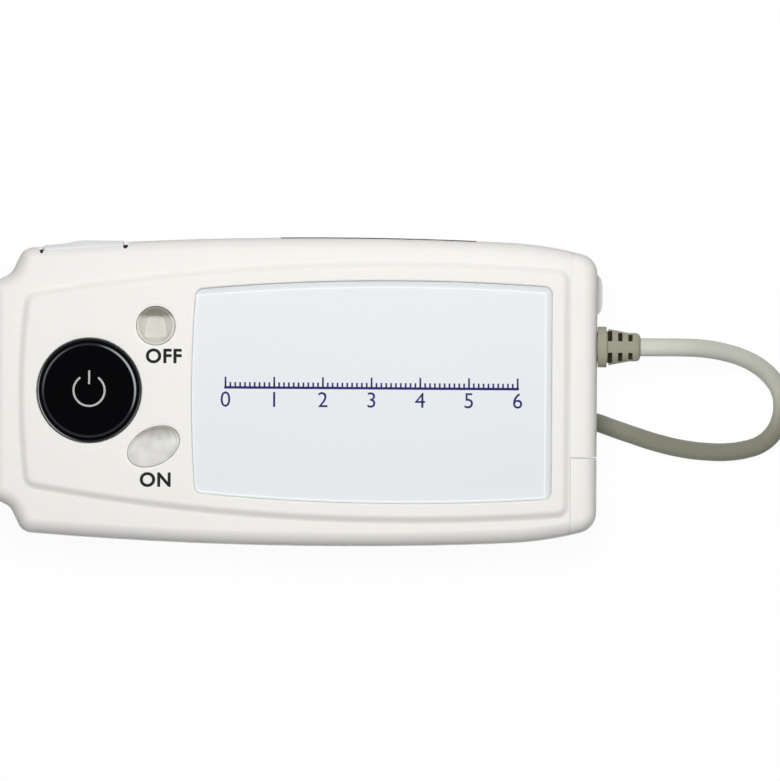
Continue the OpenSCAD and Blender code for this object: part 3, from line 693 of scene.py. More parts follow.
def joined(pieces: Sequence[bpy.types.Object]) -> bpy.types.Object:
    """Makes one object of several.

    Args:
        pieces: The objects, of which the first one stays.

    Returns:
        The first object with every mesh in it.
    """
    work = bmesh.new()
    for piece in pieces:
        work.from_mesh(piece.data)
    first = pieces[0]
    work.to_mesh(first.data)
    work.free()
    for piece in pieces[1:]:
        bpy.data.objects.remove(piece)
    return first


# Finishes


class NodeKit:
    """Adds nodes to a tree and joins them."""

    def __init__(self, tree: bpy.types.NodeTree) -> None:
        """Takes the tree to work on.

        Args:
            tree: A node tree.
        """
        self.tree = tree

    def add(self, kind: str, **values: object) -> bpy.types.Node:
        """Adds a node and sets its properties.

        Args:
            kind: The node's type.
            values: Its properties by name.

        Returns:
            The node.
        """
        node = self.tree.nodes.new(kind)
        for key, value in values.items():
            setattr(node, key, value)
        return node

    def join(self, source: bpy.types.NodeSocket, target: bpy.types.NodeSocket) -> None:
        """Joins two sockets."""
        self.tree.links.new(source, target)

    def math(self, operation: str, *values: object) -> bpy.types.NodeSocket:
        """Adds a Math node.

        Args:
            operation: What it does.
            values: Its inputs, numbers or sockets.

        Returns:
            Its output.
        """
        node = self.add("ShaderNodeMath", operation=operation)
        self.fill(node, values)
        return node.outputs[0]

    def feed(self, node: bpy.types.Node, **values: object) -> bpy.types.Node:
        """Sets or joins a node's inputs by name.

        Args:
            node: The node.
            values: A number or a socket for each input, with _ for a space.

        Returns:
            The node.
        """
        for label, value in values.items():
            self.fill_one(node.inputs[label.replace("_", " ")], value)
        return node

    def ramp(
        self, value: bpy.types.NodeSocket, start: object, end: object, high: object = 1.0,
        low: float = 0.0,
    ) -> bpy.types.NodeSocket:
        """Eases from one level to another.

        Args:
            value: What it follows.
            start: Where it begins.
            end: Where it ends.
            high: Its level at the end.
            low: Its level at the start.

        Returns:
            The level.
        """
        node = self.add("ShaderNodeMapRange", interpolation_type="SMOOTHSTEP")
        self.feed(node, Value=value, From_Min=start, From_Max=end, To_Min=low, To_Max=high)
        return node.outputs["Result"]

    def choose(
        self, share: bpy.types.NodeSocket, first: bpy.types.Node, second: bpy.types.Node
    ) -> bpy.types.Node:
        """Mixes two shaders.

        Args:
            share: How much of the second there is.
            first: The first.
            second: The second.

        Returns:
            The mixed shader.
        """
        node = self.add("ShaderNodeMixShader")
        self.fill(node, (share, first.outputs[0], second.outputs[0]))
        return node

    def mix(
        self, share: bpy.types.NodeSocket, colour: bpy.types.NodeSocket, other: object
    ) -> bpy.types.NodeSocket:
        """Mixes a colour with another.

        Args:
            share: How much of the other colour there is.
            colour: The colour.
            other: The other colour, as a socket or as numbers.

        Returns:
            The mixed colour.
        """
        node = self.add("ShaderNodeMix", data_type="RGBA")
        self.join(share, node.inputs["Factor"])
        self.join(colour, node.inputs[6])
        self.fill_one(node.inputs[7], other)
        return node.outputs[2]

    def place(self) -> tuple[bpy.types.NodeSocket, bpy.types.NodeSocket, bpy.types.NodeSocket]:
        """The place on the piece, and its X and its Y.

        Returns:
            The three sockets.
        """
        spot = self.add("ShaderNodeTexCoord").outputs["Object"]
        split = self.add("ShaderNodeSeparateXYZ")
        self.join(spot, split.inputs[0])
        return spot, split.outputs["X"], split.outputs["Y"]

    def fill_one(self, socket: bpy.types.NodeSocket, value: object) -> None:
        """Sets one input to a value, or joins it to a socket."""
        if isinstance(value, bpy.types.NodeSocket):
            self.join(value, socket)
        else:
            socket.default_value = value

    def fill(self, node: bpy.types.Node, values: Iterable[object]) -> None:
        """Sets or joins a node's inputs in order.

        Args:
            node: The node.
            values: Numbers, tuples or sockets.
        """
        for socket, value in zip(node.inputs, values):
            self.fill_one(socket, value)


def new_group(
    name: str, kind: str, inputs: Sequence[SocketName], outputs: Sequence[SocketName]
) -> tuple[NodeKit, bpy.types.Node, bpy.types.Node]:
    """Starts a node group with named sockets.

    Args:
        name: The group's name.
        kind: The type of its tree.
        inputs: (name, kind) of each input.
        outputs: (name, kind) of each output.

    Returns:
        The group's kit, its input node and its output node.
    """
    group = bpy.data.node_groups.new(name, kind)
    for side, sockets in (("INPUT", inputs), ("OUTPUT", outputs)):
        for label, socket in sockets:
            group.interface.new_socket(
                name=label, in_out=side, socket_type=f"NodeSocket{socket}"
            )
    kit = NodeKit(group)
    return kit, kit.add("NodeGroupInput"), kit.add("NodeGroupOutput")


def surface_group() -> bpy.types.NodeTree:
    """The shared moulded surface: mottled colour, uneven gloss and a fine grain.

    Returns:
        The node group.
    """
    name = "moulded surface"
    if name in bpy.data.node_groups:
        return bpy.data.node_groups[name]
    kit, source, target = new_group(
        name, "ShaderNodeTree",
        (
            ("Colour", "Color"), ("Shade", "Color"), ("Mottle Scale", "Float"),
            ("Mottle", "Float"), ("Gloss", "Float"), ("Gloss Spread", "Float"),
            ("Grain Scale", "Float"),
        ),
        (("Colour", "Color"), ("Roughness", "Float"), ("Height", "Float")),
    )
    spot = kit.add("ShaderNodeTexCoord").outputs["Object"]
    mottle, grain = (
        kit.feed(
            kit.add("ShaderNodeTexNoise"), Vector=spot, Scale=source.outputs[scale], Detail=detail
        )
        for scale, detail in (("Mottle Scale", 4.0), ("Grain Scale", 2.0))
    )
    spread = kit.add("ShaderNodeMapRange")
    kit.feed(spread, Value=mottle.outputs["Fac"], From_Min=0.3, From_Max=0.7)
    amount = kit.math("MULTIPLY", spread.outputs["Result"], source.outputs["Mottle"])
    mixed = kit.mix(amount, source.outputs["Colour"], source.outputs["Shade"])
    kit.join(mixed, target.inputs["Colour"])
    lean = kit.math("SUBTRACT", spread.outputs["Result"], 0.5)
    lean = kit.math("MULTIPLY", lean, source.outputs["Gloss Spread"])
    kit.join(kit.math("ADD", source.outputs["Gloss"], lean), target.inputs["Roughness"])
    kit.join(grain.outputs["Fac"], target.inputs["Height"])
    return kit.tree


def tone_group() -> bpy.types.NodeTree:
    """The shared painted shade: a darker colour blended in across the width, broken up by noise.

    Returns:
        The node group.
    """
    name = "tone across the width"
    if name in bpy.data.node_groups:
        return bpy.data.node_groups[name]
    kit, source, target = new_group(
        name, "ShaderNodeTree",
        (
            ("Colour", "Color"), ("Tone", "Color"), ("Own Y", "Float"), ("Tone Y", "Float"),
            ("Most", "Float"), ("Drift", "Float"),
        ),
        (("Colour", "Color"),),
    )
    spot, _, y = kit.place()
    clouds = kit.feed(kit.add("ShaderNodeTexNoise"), Vector=spot, Scale=520.0)
    wander = kit.math("MULTIPLY_ADD", clouds.outputs["Fac"], 2.0, -1.0)
    wander = kit.math("MULTIPLY", wander, source.outputs["Drift"])
    ends = (source.outputs[label] for label in ("Own Y", "Tone Y", "Most"))
    share = kit.ramp(kit.math("ADD", y, wander), *ends)
    # Mixes the painted shade colour in.
    mixed = kit.mix(share, source.outputs["Colour"], source.outputs["Tone"])
    kit.join(mixed, target.inputs["Colour"])
    return kit.tree


@dataclass(frozen=True)
class Finish:
    """One procedural finish of the monitor."""

    name: str
    colour: Colour
    shade: Colour
    roughness: float = 0.4
    gloss_spread: float = 0.08
    mottle: float = 0.5
    mottle_scale: float = 60.0
    grain_scale: float = 2600.0
    grain_depth: float = 0.02
    metallic: float = 0.0
    specular: float = 0.5
    coat: float = 0.0
    coat_roughness: float = 0.05
    subsurface: float = 0.0
    subsurface_scale: float = 0.002

    def made(self) -> bpy.types.Material:
        """Builds the material once, and gives it back after that.

        Returns:
            The material.
        """
        if self.name in bpy.data.materials:
            return bpy.data.materials[self.name]
        material = bpy.data.materials.new(self.name)
        material.use_nodes = True
        kit = NodeKit(material.node_tree)
        shader = material.node_tree.nodes["Principled BSDF"]
        kit.feed(
            shader, Metallic=self.metallic, Specular_IOR_Level=self.specular,
            Coat_Weight=self.coat, Coat_Roughness=self.coat_roughness,
            Subsurface_Weight=self.subsurface, Subsurface_Scale=self.subsurface_scale,
        )
        surface = kit.add("ShaderNodeGroup", node_tree=surface_group())
        kit.fill(
            surface,
            (
                (*self.colour, 1.0),
                (*self.shade, 1.0),
                self.mottle_scale,
                self.mottle,
                self.roughness,
                self.gloss_spread,
                self.grain_scale,
            ),
        )
        bump = kit.add("ShaderNodeBump")
        depth = self.grain_depth * MM
        kit.feed(bump, Strength=1.0, Distance=depth, Height=surface.outputs["Height"])
        kit.feed(
            shader, Normal=bump.outputs["Normal"], Roughness=surface.outputs["Roughness"],
            Base_Color=self.pattern(kit, surface.outputs["Colour"]),
        )
        return material

    def pattern(self, kit: NodeKit, colour: bpy.types.NodeSocket) -> bpy.types.NodeSocket:
        """Adds what a special finish puts over its colour, such as print, tracks, painted shade and
        painted highlight. A plain finish adds nothing.
        """
        return colour


@dataclass(frozen=True)
class CellWrap(Finish):
    """The printed wrap of a cell, with a copper band at its nub end."""

    band: Colour = (0.42, 0.2, 0.08)
    band_x: float = -13.0

    def pattern(self, kit: NodeKit, colour: bpy.types.NodeSocket) -> bpy.types.NodeSocket:
        """Prints the band across the length.

        Args:
            kit: The material's node kit.
            colour: The wrap's own colour.

        Returns:
            The colour with the band.
        """
        _, x, _ = kit.place()
        return kit.mix(
            kit.math("GREATER_THAN", x, self.band_x * MM), colour, (*self.band, 1.0)
        )


@dataclass(frozen=True)
class Graded(Finish):
    """A finish with painted shade, which darkens towards a shade colour across the width, broken up
    by noise.
    """

    # Colour of the painted shade.
    tone: Colour = (0.2, 0.18, 0.15)
    own_y: float = 0.0
    tone_y: float = 1.0
    most: float = 1.0
    drift: float = 0.5

    def pattern(self, kit: NodeKit, colour: bpy.types.NodeSocket) -> bpy.types.NodeSocket:
        """Blends the painted shade in across the width.

        Args:
            kit: The material's node kit.
            colour: The finish's own colour.

        Returns:
            The blended colour.
        """
        turned = kit.add("ShaderNodeGroup", node_tree=tone_group())
        values = (self.own_y * MM, self.tone_y * MM, self.most, self.drift * MM)
        kit.fill(turned, (colour, (*self.tone, 1.0), *values))
        return turned.outputs["Colour"]


@dataclass(frozen=True)
class DeepWindow(Finish):
    """A clear window over a pale display, with painted shadow along its edges and a painted
    highlight line inside them.
    """

    plan: BowedPlan = WINDOW
    far_line: float = 1.3
    near_line: float = 0.45
    line: float = 0.24
    # How dark the painted shadow grows towards the edges.
    dimming: float = 0.2
    # Colour of the painted highlight line.
    glint: Colour = (0.93, 0.94, 0.95)

    def pattern(self, kit: NodeKit, colour: bpy.types.NodeSocket) -> bpy.types.NodeSocket:
        """Paints shadow on the border outside a line near the edges, and paints a highlight along
        that line.

        Args:
            kit: The material's node kit.
            colour: The window's own colour.

        Returns:
            The colour with the painted shadow and highlight.
        """
        plan = self.plan
        _, x, y = kit.place()
        off = kit.math("SUBTRACT", x, plan.bow_x * MM)
        fall = kit.math("DIVIDE", kit.math("MULTIPLY", off, off), 2 * plan.bow_radius * MM)
        side = kit.math("SUBTRACT", plan.half_width * MM, fall)
        above = kit.math("SUBTRACT", kit.math("SUBTRACT", side, y), self.far_line * MM)
        below = kit.math("SUBTRACT", kit.math("ADD", side, y), self.near_line * MM)
        right = kit.math("SUBTRACT", (plan.x1 - self.far_line) * MM, x)
        inside = kit.math("MINIMUM", kit.math("MINIMUM", above, below), right)
        border = kit.math("DIVIDE", inside, -self.far_line * MM)
        border = kit.math("MULTIPLY", kit.math("MAXIMUM", border, 0.0), self.dimming)
        shadowed = kit.mix(border, colour, BLACK)
        near = kit.math("DIVIDE", kit.math("ABSOLUTE", inside), self.line * MM)
        glint = kit.math("MAXIMUM", kit.math("SUBTRACT", 1.0, near), 0.0)
        return kit.mix(glint, shadowed, (*self.glint, 1.0))


@dataclass(frozen=True)
class BoardMask(Finish):
    """Solder mask with paler tracks under it."""

    track: Colour = (0.05, 0.3, 0.14)
    pitch: float = 2.2
    track_share: float = 0.06

    def pattern(self, kit: NodeKit, colour: bpy.types.NodeSocket) -> bpy.types.NodeSocket:
        """Draws the tracks.

        Args:
            kit: The material's node kit.
            colour: The mask's own colour.

        Returns:
            The colour with the tracks.
        """
        spot, _, _ = kit.place()
        cells = kit.add("ShaderNodeTexBrick", offset=0.35)
        kit.feed(
            cells, Vector=spot, Scale=1 / (self.pitch * MM), Mortar_Size=self.track_share,
            Color1=BLACK, Color2=BLACK, Mortar=WHITE,
        )
        return kit.mix(cells.outputs["Color"], colour, (*self.track, 1.0))


class Finishes:
    """Every finish of the monitor."""

    HOUSING = Finish(
        "satin white housing", (0.87, 0.852, 0.82), (0.85, 0.832, 0.8),
        roughness=0.38, mottle_scale=35, grain_scale=3200, grain_depth=0.006, subsurface=0.04,
        specular=0.12,
    )
    STRAP = Finish(
        "satin white strap bar", (0.85, 0.835, 0.805), (0.8, 0.785, 0.755),
        roughness=0.42, grain_depth=0.006,
    )
    # Its pattern paints shadow along the edges and a painted highlight line inside them.
    WINDOW = DeepWindow(
        "window over pale display", (0.80, 0.826, 0.85), (0.788, 0.814, 0.838),
        roughness=0.12, gloss_spread=0.02, mottle_scale=22, grain_depth=0.0008, specular=0.35,
    )
    TAPE = Finish(
        "black bonding tape", (0.02, 0.02, 0.022), (0.03, 0.03, 0.03), roughness=0.7
    )
    PANEL = Finish(
        "display glass", (0.5, 0.56, 0.6), (0.46, 0.52, 0.57), roughness=0.15, grain_depth=0.001
    )
    FRAME_PLASTIC = Finish(
        "grey frame moulding", (0.5, 0.51, 0.52), (0.46, 0.47, 0.48), roughness=0.5
    )
    KEY_BLACK = Finish(
        "gloss black key", (0.0025, 0.0025, 0.003), (0.003, 0.003, 0.004),
        roughness=0.06, gloss_spread=0.03, grain_depth=0.0006, coat=0.5, coat_roughness=0.03,
    )
    # Pearl colour with painted shade: the upper part of the stop key's bowl is darkened where its
    # rim shades it.
    KEY_PEARL = Graded(
        "pearl key", (0.74, 0.73, 0.67), (0.64, 0.62, 0.56),
        roughness=0.42, mottle=0.7, mottle_scale=420, grain_depth=0.003, metallic=0.1,
        tone=(0.2, 0.175, 0.145), own_y=14.7, tone_y=15.9, most=0.8,
    )
    # Pale pearl colour with painted shade: the upper part of the start key's bowl is darkened where
    # its rim shades it.
    KEY_PALE = Graded(
        "pale pearl key", (0.81, 0.8, 0.77), (0.63, 0.62, 0.59),
        roughness=0.38, mottle=0.8, mottle_scale=330, grain_depth=0.003, metallic=0.08,
        tone=(0.24, 0.22, 0.19), own_y=-10.4, tone_y=-7.8, most=0.6, drift=1.3,
    )
    # Black moulding of the parts inside. It also serves as painted shade in the electrode notches
    # and along the upper side.
    DARK = Finish(
        "black moulding and painted shade", (0.018, 0.018, 0.02), (0.03, 0.03, 0.032), roughness=0.55
    )
    BOARD = BoardMask(
        "green solder mask", (0.015, 0.13, 0.055), (0.012, 0.11, 0.045), roughness=0.35
    )
    STEEL = Finish(
        "nickel plated steel", (0.6, 0.6, 0.6), (0.48, 0.48, 0.48),
        roughness=0.3, gloss_spread=0.14, metallic=1.0, grain_scale=1400, grain_depth=0.004,
    )
    IVORY = Finish(
        "ivory insulator", (0.78, 0.75, 0.66), (0.72, 0.69, 0.6), roughness=0.5
    )
    # Warm grey jacket with painted shade: the lead's lower run is darkened against its upper run,
    # as shade would darken it.
    CORD = Graded(
        "warm grey lead jacket with painted shade", (0.655, 0.66, 0.58), (0.59, 0.595, 0.52),
        tone=(0.235, 0.237, 0.18), own_y=9.5, tone_y=-9.5,
        roughness=0.52, gloss_spread=0.1, mottle_scale=90, grain_scale=3000, grain_depth=0.012,
    )
    BOOT = Finish(
        "warm grey boot moulding", (0.36, 0.35, 0.27), (0.305, 0.297, 0.224),
        roughness=0.5, gloss_spread=0.1, mottle_scale=120, grain_scale=3000, grain_depth=0.014,
    )
    # Painted shade: near black, for the plates that darken the boot's pockets.
    POCKET = Finish(
        "painted shade in boot pockets", (0.03, 0.025, 0.015), (0.045, 0.04, 0.025), roughness=0.8
    )
    ELECTRODE = Finish(
        "satin electrode plating", (0.92, 0.935, 0.95), (0.89, 0.905, 0.92),
        roughness=0.5, gloss_spread=0.1, metallic=0.2, mottle_scale=140, grain_depth=0.003,
    )
    GOLD = Finish(
        "gold plated contact", (0.75, 0.52, 0.22), (0.66, 0.44, 0.17),
        roughness=0.25, metallic=1.0,
    )
    CELL = CellWrap(
        "cell wrap", (0.05, 0.055, 0.065), (0.07, 0.075, 0.085), roughness=0.3, coat=0.2
    )
    SILVER_PRINT = Finish(
        "silver print", (0.74, 0.74, 0.73), (0.6, 0.6, 0.6), roughness=0.4, metallic=0.4
    )
    NAVY_PRINT = Finish(
        "navy print", (0.028, 0.024, 0.15), (0.035, 0.03, 0.17), roughness=0.45
    )
    BLACK_PRINT = Finish(
        "black print", (0.008, 0.008, 0.009), (0.02, 0.02, 0.02), roughness=0.5
    )


# Housing


@dataclass(frozen=True)
class FrontShell:
    """The white front shell, with its raised field and every opening through it."""

    plan: HousingPlan = HOUSING
    levels: Levels = LEVELS
    parting: float = 0.16
    parting_drop: float = 0.16
    seam_x: float = 56.985
    edge_power: float = 1.65
    field_out: float = 0.0
    field_width: float = 2.35
    field_sunk: float = 0.6
    recess_gap: float = 0.03
    recess_round: float = 0.5
    ledge: float = 3.0
    recess_z: float = 20.1
    notch_widths: Point2 = (1.1, 2.2)
    notch_depth: float = 1.2
    notch_floor: float = 16.5
    notch_out: float = 0.45
    # Top of the painted shade blocks in the notches.
    seal_high: float = 19.2
    # Where the painted shade along the upper side lies.
    strip_x: Point2 = (-2.8, 37.4)
    strip_z: Point2 = (13.0, 16.6)
    strip_sunk: float = 0.01
    strip_depth: float = 0.8

    def sides(self) -> list[Point2]:
        """Steps of the side, from the softened parting edge to the rolled top edge.

        Returns:
            (height, inset) pairs, lowest first.
        """
        level = self.levels
        steps = [
            (level.split, self.parting),
            (level.split + self.parting_drop * 0.4, self.parting * 0.3),
            (level.split + self.parting_drop, 0.0),
        ]
        count = 14
        share = 2 / self.edge_power
        for k in range(count + 1):
            angle = math.pi / 2 * k / count
            rise, run = max(0.0, math.sin(angle)) ** share, max(0.0, math.cos(angle)) ** share
            steps.append(
                (
                    level.rim - level.top_edge * (1 - rise),
                    level.front_draft + level.top_edge * (1 - run),
                )
            )
        return steps

    def raised_field(self) -> bpy.types.Object:
        """The raised field, whose sides rise in a soft curve."""
        level = self.levels
        count = 20
        steps = [(level.rim - self.field_sunk, -self.field_out)]
        for k in range(count + 1):
            share = k / count
            steps.append(
                (
                    level.rim - 0.01 + (level.field - level.rim + 0.01) * slow_step(share),
                    self.field_width * share - self.field_out,
                )
            )
        return skin_solid(FIELD, steps)

    def cavity(self) -> bpy.types.Object:
        """The space inside the shell, which stops short of the seam."""
        level = self.levels
        steps = [(level.split - 1, level.wall), (level.ceiling, level.wall + 0.9)]
        tool = skin_solid(self.plan, steps)
        keep = box_solid((-FAR, -FAR, -9), (level.shell_x1 - level.wall, FAR, FAR))
        cut(tool, keep, Cut.KEEP)
        return tool

    def window_recess(self) -> bpy.types.Object:
        """The window's recess, with a rounded brink."""
        level = self.levels
        steps = [(self.recess_z, self.recess_gap)]
        for k in range(6):
            angle = math.pi / 2 * k / 5
            steps.append(
                (
                    level.field - self.recess_round * (1 - math.sin(angle)),
                    self.recess_gap + self.recess_round * (1 - math.cos(angle)),
                )
            )
        steps.append((level.field + 1, self.recess_gap + self.recess_round + 0.1))
        return skin_solid(WINDOW, [(z, -grown) for z, grown in steps])

    def display_opening(self) -> bpy.types.Object:
        """The opening under the window."""
        return prism_solid(WINDOW.outline(self.ledge), 15.0, 25.0)

    def electrode_notch(self, x: float, width: float) -> bpy.types.Object:
        """A wedge cut into the rim at one end of the finger electrode.

        Args:
            x: Where it stands along the length.
            width: Its width at the side.

        Returns:
            The cutting tool.
        """
        side = self.plan.side_y(x) - self.levels.front_draft
        half = width / 2
        outline = [
            (x + half, side + 1.0), (x - half, side + 1.0), (x - half, side - 0.15),
            (x - 0.2, side - self.notch_depth), (x + 0.2, side - self.notch_depth),
            (x + half, side - 0.15),
        ]
        return prism_solid(outline, self.notch_floor, 25.0)

    def seals(self, places: Sequence[float]) -> bpy.types.Object:
        """Painted shade in the notches at the ends of the finger electrode: dark blocks where the
        notches lie in shade.

        Args:
            places: Where they stand along the length.

        Returns:
            The finished piece.
        """
        form = Form("electrode_seals")
        for x in places:
            side = self.plan.side_y(x) - self.levels.front_draft
            form.box(
                (x - 0.5, side - 1.4, self.notch_floor - 1),
                (x + 0.5, side - 0.45, self.seal_high),
            )
        piece = form.made()
        smooth(piece, 30)
        return in_place(piece, Finishes.DARK, "dark_plastic", HOUSING_BODY)

    def side_strip(self) -> bpy.types.Object:
        """Painted shade along the upper side: a thin dark strip where the side wall lies in shade.
        """
        count = 24
        x0, x1 = self.strip_x
        outer = []
        for k in range(count + 1):
            x = x0 + (x1 - x0) * k / count
            outer.append((x, self.plan.side_y(x) - self.strip_sunk))
        inner = [(x, y - self.strip_depth) for x, y in outer]
        piece = prism_solid(inner + list(reversed(outer)), *self.strip_z, "side_strip")
        smooth(piece, 30)
        return in_place(piece, Finishes.DARK, "dark_plastic", HOUSING_BODY)

    def build(self) -> bpy.types.Object:
        """Builds the shell.

        Returns:
            The finished piece.
        """
        shell = skin_solid(self.plan, self.sides(), "front_shell_skin")
        cut(shell, self.raised_field(), Cut.JOIN)
        cut(shell, box_solid((self.seam_x, -FAR, -FAR), (FAR, FAR, FAR)))
        for opening in (self.cavity, self.window_recess, self.display_opening):
            cut(shell, opening())
        for key in Keys.ALL:
            cut(shell, key.hole())
        electrodes = Electrodes()
        cut(shell, electrodes.finger_seat())
        places = (
            electrodes.finger_x0 - self.notch_out, electrodes.finger_x1 + self.notch_out
        )
        for x, width in zip(places, self.notch_widths):
            cut(shell, self.electrode_notch(x, width))
        smooth(shell, 30)
        # Painted shade in the electrode notches.
        self.seals(places)
        # Painted shade along the upper side.
        self.side_strip()
        return in_place(
            shell, Finishes.HOUSING, "housing_white", HOUSING_BODY, "front_shell"
        )


@dataclass(frozen=True)
class OtherShells:
    """The rear shell, end cap and port cover, as softened copies of their solids."""

    seam_round: float = 0.16
    steps: int = 2

    def build(self) -> None:
        """Builds each of them."""
        for node, body, width in (
            ("rear_shell", HOUSING_BODY, 0.0),
            ("end_cap", HOUSING_BODY, self.seam_round),
            ("port_cover", "port_cover_body", self.seam_round),
        ):
            piece = merged_copy(node, f"{node}_skin")
            if width:
                eased(piece, width, self.steps)
            smooth(piece, 30)
            in_place(piece, Finishes.HOUSING, "housing_white", body, node)


@dataclass(frozen=True)
class BatteryDoor:
    """The sliding battery door, with a thumb grip of sunk grooves and an arrow."""

    groove_count: int = 7
    groove_pitch: float = 1.7
    groove_x: float = -56.5
    groove_half: float = 7.0
    groove_width: float = 0.8
    groove_depth: float = 0.4
    arrow_x: float = -38.0
    arrow_half: float = 2.4

    def groove(self) -> bpy.types.Object:
        """One round-ended groove at the origin."""
        half, radius = self.groove_half, self.groove_width / 2
        outline = []
        for side, start in ((1, 0.0), (-1, math.pi)):
            for k in range(7):
                angle = start + math.pi * k / 6
                outline.append(
                    (radius * math.cos(angle), side * half + radius * math.sin(angle))
                )
        return prism_solid(outline, -1.0, self.groove_depth, "groove")

    def arrow(self) -> bpy.types.Object:
        """A sunk arrow that points the way the door slides."""
        x, half = self.arrow_x, self.arrow_half
        return prism_solid([(x - 4, 0.0), (x, -half), (x, half)], -1.0, self.groove_depth)

    def build(self) -> bpy.types.Object:
        """Builds the door.

        Returns:
            The finished piece.
        """
        door = merged_copy("battery_door", "battery_door_skin")
        grooves = row(
            "grip_grooves", self.groove(), self.groove_count, (self.groove_x, 0, 0),
            (self.groove_pitch, 0, 0),
        )
        cut(door, grooves)
        cut(door, self.arrow())
        smooth(door, 30)
        return in_place(
            door, Finishes.HOUSING, "housing_white", "battery_door_body", "battery_door"
        )


@dataclass(frozen=True)
class CaseScrews:
    """Four cross-recessed screws in the rear shell's counterbores."""

    head_radius: float = 1.9
    head_low: float = 2.6
    head_high: float = 4.0
    shank_radius: float = 1.1
    shank_high: float = 17.0
    slot: float = 0.5
    slot_reach: float = 1.15
    left: Point2 = (-51.0, 17.6)
    right: Point2 = (36.0, 22.8)

    def screw(self) -> bpy.types.Object:
        """One screw at the origin, head down."""
        top = self.head_high
        profile = [(0.0, self.head_low)]
        for k in range(1, 6):
            angle = math.pi / 2 * k / 5
            profile.append(
                (
                    self.head_radius * math.sin(angle) ** 0.8,
                    self.head_low + 0.55 * (1 - math.cos(angle)),
                )
            )
        profile += [
            (self.head_radius, top), (self.shank_radius, top), (self.shank_radius, self.shank_high),
            (0.0, self.shank_high),
        ]
        form = Form("screw")
        form.spun(profile, (0.0, 0.0), 40)
        screw = form.made()
        low, reach, half = self.head_low, self.slot_reach, self.slot / 2
        for x, y in ((reach, half), (half, reach)):
            cut(screw, box_solid((-x, -y, low - 1), (x, y, low + 0.8)))
        return screw

    def build(self) -> bpy.types.Object:
        """Builds the four screws in two rows.

        Returns:
            The finished piece.
        """
        finish = Finishes.STEEL
        rows = [
            row("case_screw_row", self.screw(), 2, (x, -y, 0), (0, 2 * y, 0), finish.made())
            for x, y in (self.left, self.right)
        ]
        screws = joined(rows)
        screws.name = "case_screw_set"
        smooth(screws, 35)
        return in_place(screws, finish, "plate_steel", HOUSING_BODY, "case_screws")


# Window


@dataclass(frozen=True)
class Window:
    """The window with its bevelled border, and the plain scale printed on it."""

    low: float = 20.4
    bevel: float = 0.35
    bevel_drop: float = 0.06
    brink: float = 0.06
    ruler_x: float = -13.95
    ruler_y: float = 0.8
    ruler_length: float = 60.0
    minor_ticks: int = 61
    major_ticks: int = 7
    line: float = 0.52
    print_thick: float = 0.012
    digit_height: float = 3.1

    def lens(self) -> bpy.types.Object:
        """The window itself.

        Returns:
            The finished piece.
        """
        top = LEVELS.window
        steps = [
            (self.low, 0.0),
            (top - self.bevel_drop - self.brink, 0.0),
            (top - self.bevel_drop - self.brink * 0.3, self.brink * 0.3),
            (top - self.bevel_drop, self.brink),
        ]
        count = 6
        for k in range(1, count + 1):
            share = k / count
            steps.append(
                (
                    top - self.bevel_drop * (1 - smooth_step(share)),
                    self.brink + (self.bevel - self.brink) * share,
                )
            )
        piece = skin_solid(WINDOW, steps, "window_lens")
        smooth(piece, 40)
        return in_place(
            piece, Finishes.WINDOW, "window_pale", HOUSING_BODY, "display_lens"
        )

    def ticks(self, name: str, count: int, height: float) -> bpy.types.Object:
        """A row of the ruler's ticks.

        Args:
            name: The row's name.
            count: How many ticks.
            height: How tall each is.

        Returns:
            The row.
        """
        half = self.line / 2
        tick = box_solid((-half * 0.7, 0, 0), (half * 0.7, height, self.print_thick), "tick")
        step = self.ruler_length / (count - 1)
        return row(
            name, tick, count, (self.ruler_x, self.ruler_y, LEVELS.window), (step, 0, 0),
            Finishes.NAVY_PRINT.made(),
        )

    def build(self) -> None:
        """Builds the window and its print."""
        self.lens()
        top, half = LEVELS.window, self.line / 2
        base = box_solid(
            (self.ruler_x - half, self.ruler_y - half, top),
            (self.ruler_x + self.ruler_length + half, self.ruler_y + half, top + self.print_thick),
            "ruler_base",
        )
        pieces = [
            base,
            self.ticks("minor_ticks", self.minor_ticks, 1.1),
            self.ticks("major_ticks", self.major_ticks, 2.2),
        ]
        step = self.ruler_length / (self.major_ticks - 1)
        for number in range(self.major_ticks):
            centre = (self.ruler_x + step * number, self.ruler_y - 2.6)
            pieces.append(lettering(str(number), centre, self.digit_height, top, 0.0))
        ruler = joined(pieces)
        ruler.name = "window_print"
        in_place(ruler, Finishes.NAVY_PRINT, "dark_plastic", HOUSING_BODY)


# Keys


@dataclass(frozen=True)
class Key:
    """A key that is pressed straight down, and the hole and dish that it sits in."""

    node: str
    body: str
    centre: Point2
    radius: float
    squeeze: float = 1.0
    turn: float = 0.0
    dish_width: float = 0.0
    dish_depth: float = 0.0
    gap: float = 0.15
    brink: float = 0.2
    flange: float = 1.1

    def hole(self) -> bpy.types.Object:
        """The tool that cuts the key's hole, with the soft dish round it.

        Returns:
            The cutting tool.
        """
        low = LEVELS.field - self.dish_depth
        radius = self.radius + self.gap
        profile = [(0.0, 18.0), (radius, 18.0)]
        for k in range(5):
            angle = math.pi / 2 * k / 4
            profile.append(
                (
                    radius + self.brink * (1 - math.cos(angle)),
                    low - self.brink * (1 - math.sin(angle)),
                )
            )
        edge = radius + self.brink
        count = 12
        for k in range(1, count + 1):
            share = k / count
            profile.append(
                (edge + self.dish_width * share, low + self.dish_depth * smooth_step(share))
            )
        profile.append((edge + self.dish_width + 0.05, LEVELS.field + 0.2))
        profile.append((0.0, LEVELS.field + 0.2))
        form = Form("tool")
        form.spun(profile, self.centre, 144, self.squeeze, self.turn)
        return form.made()


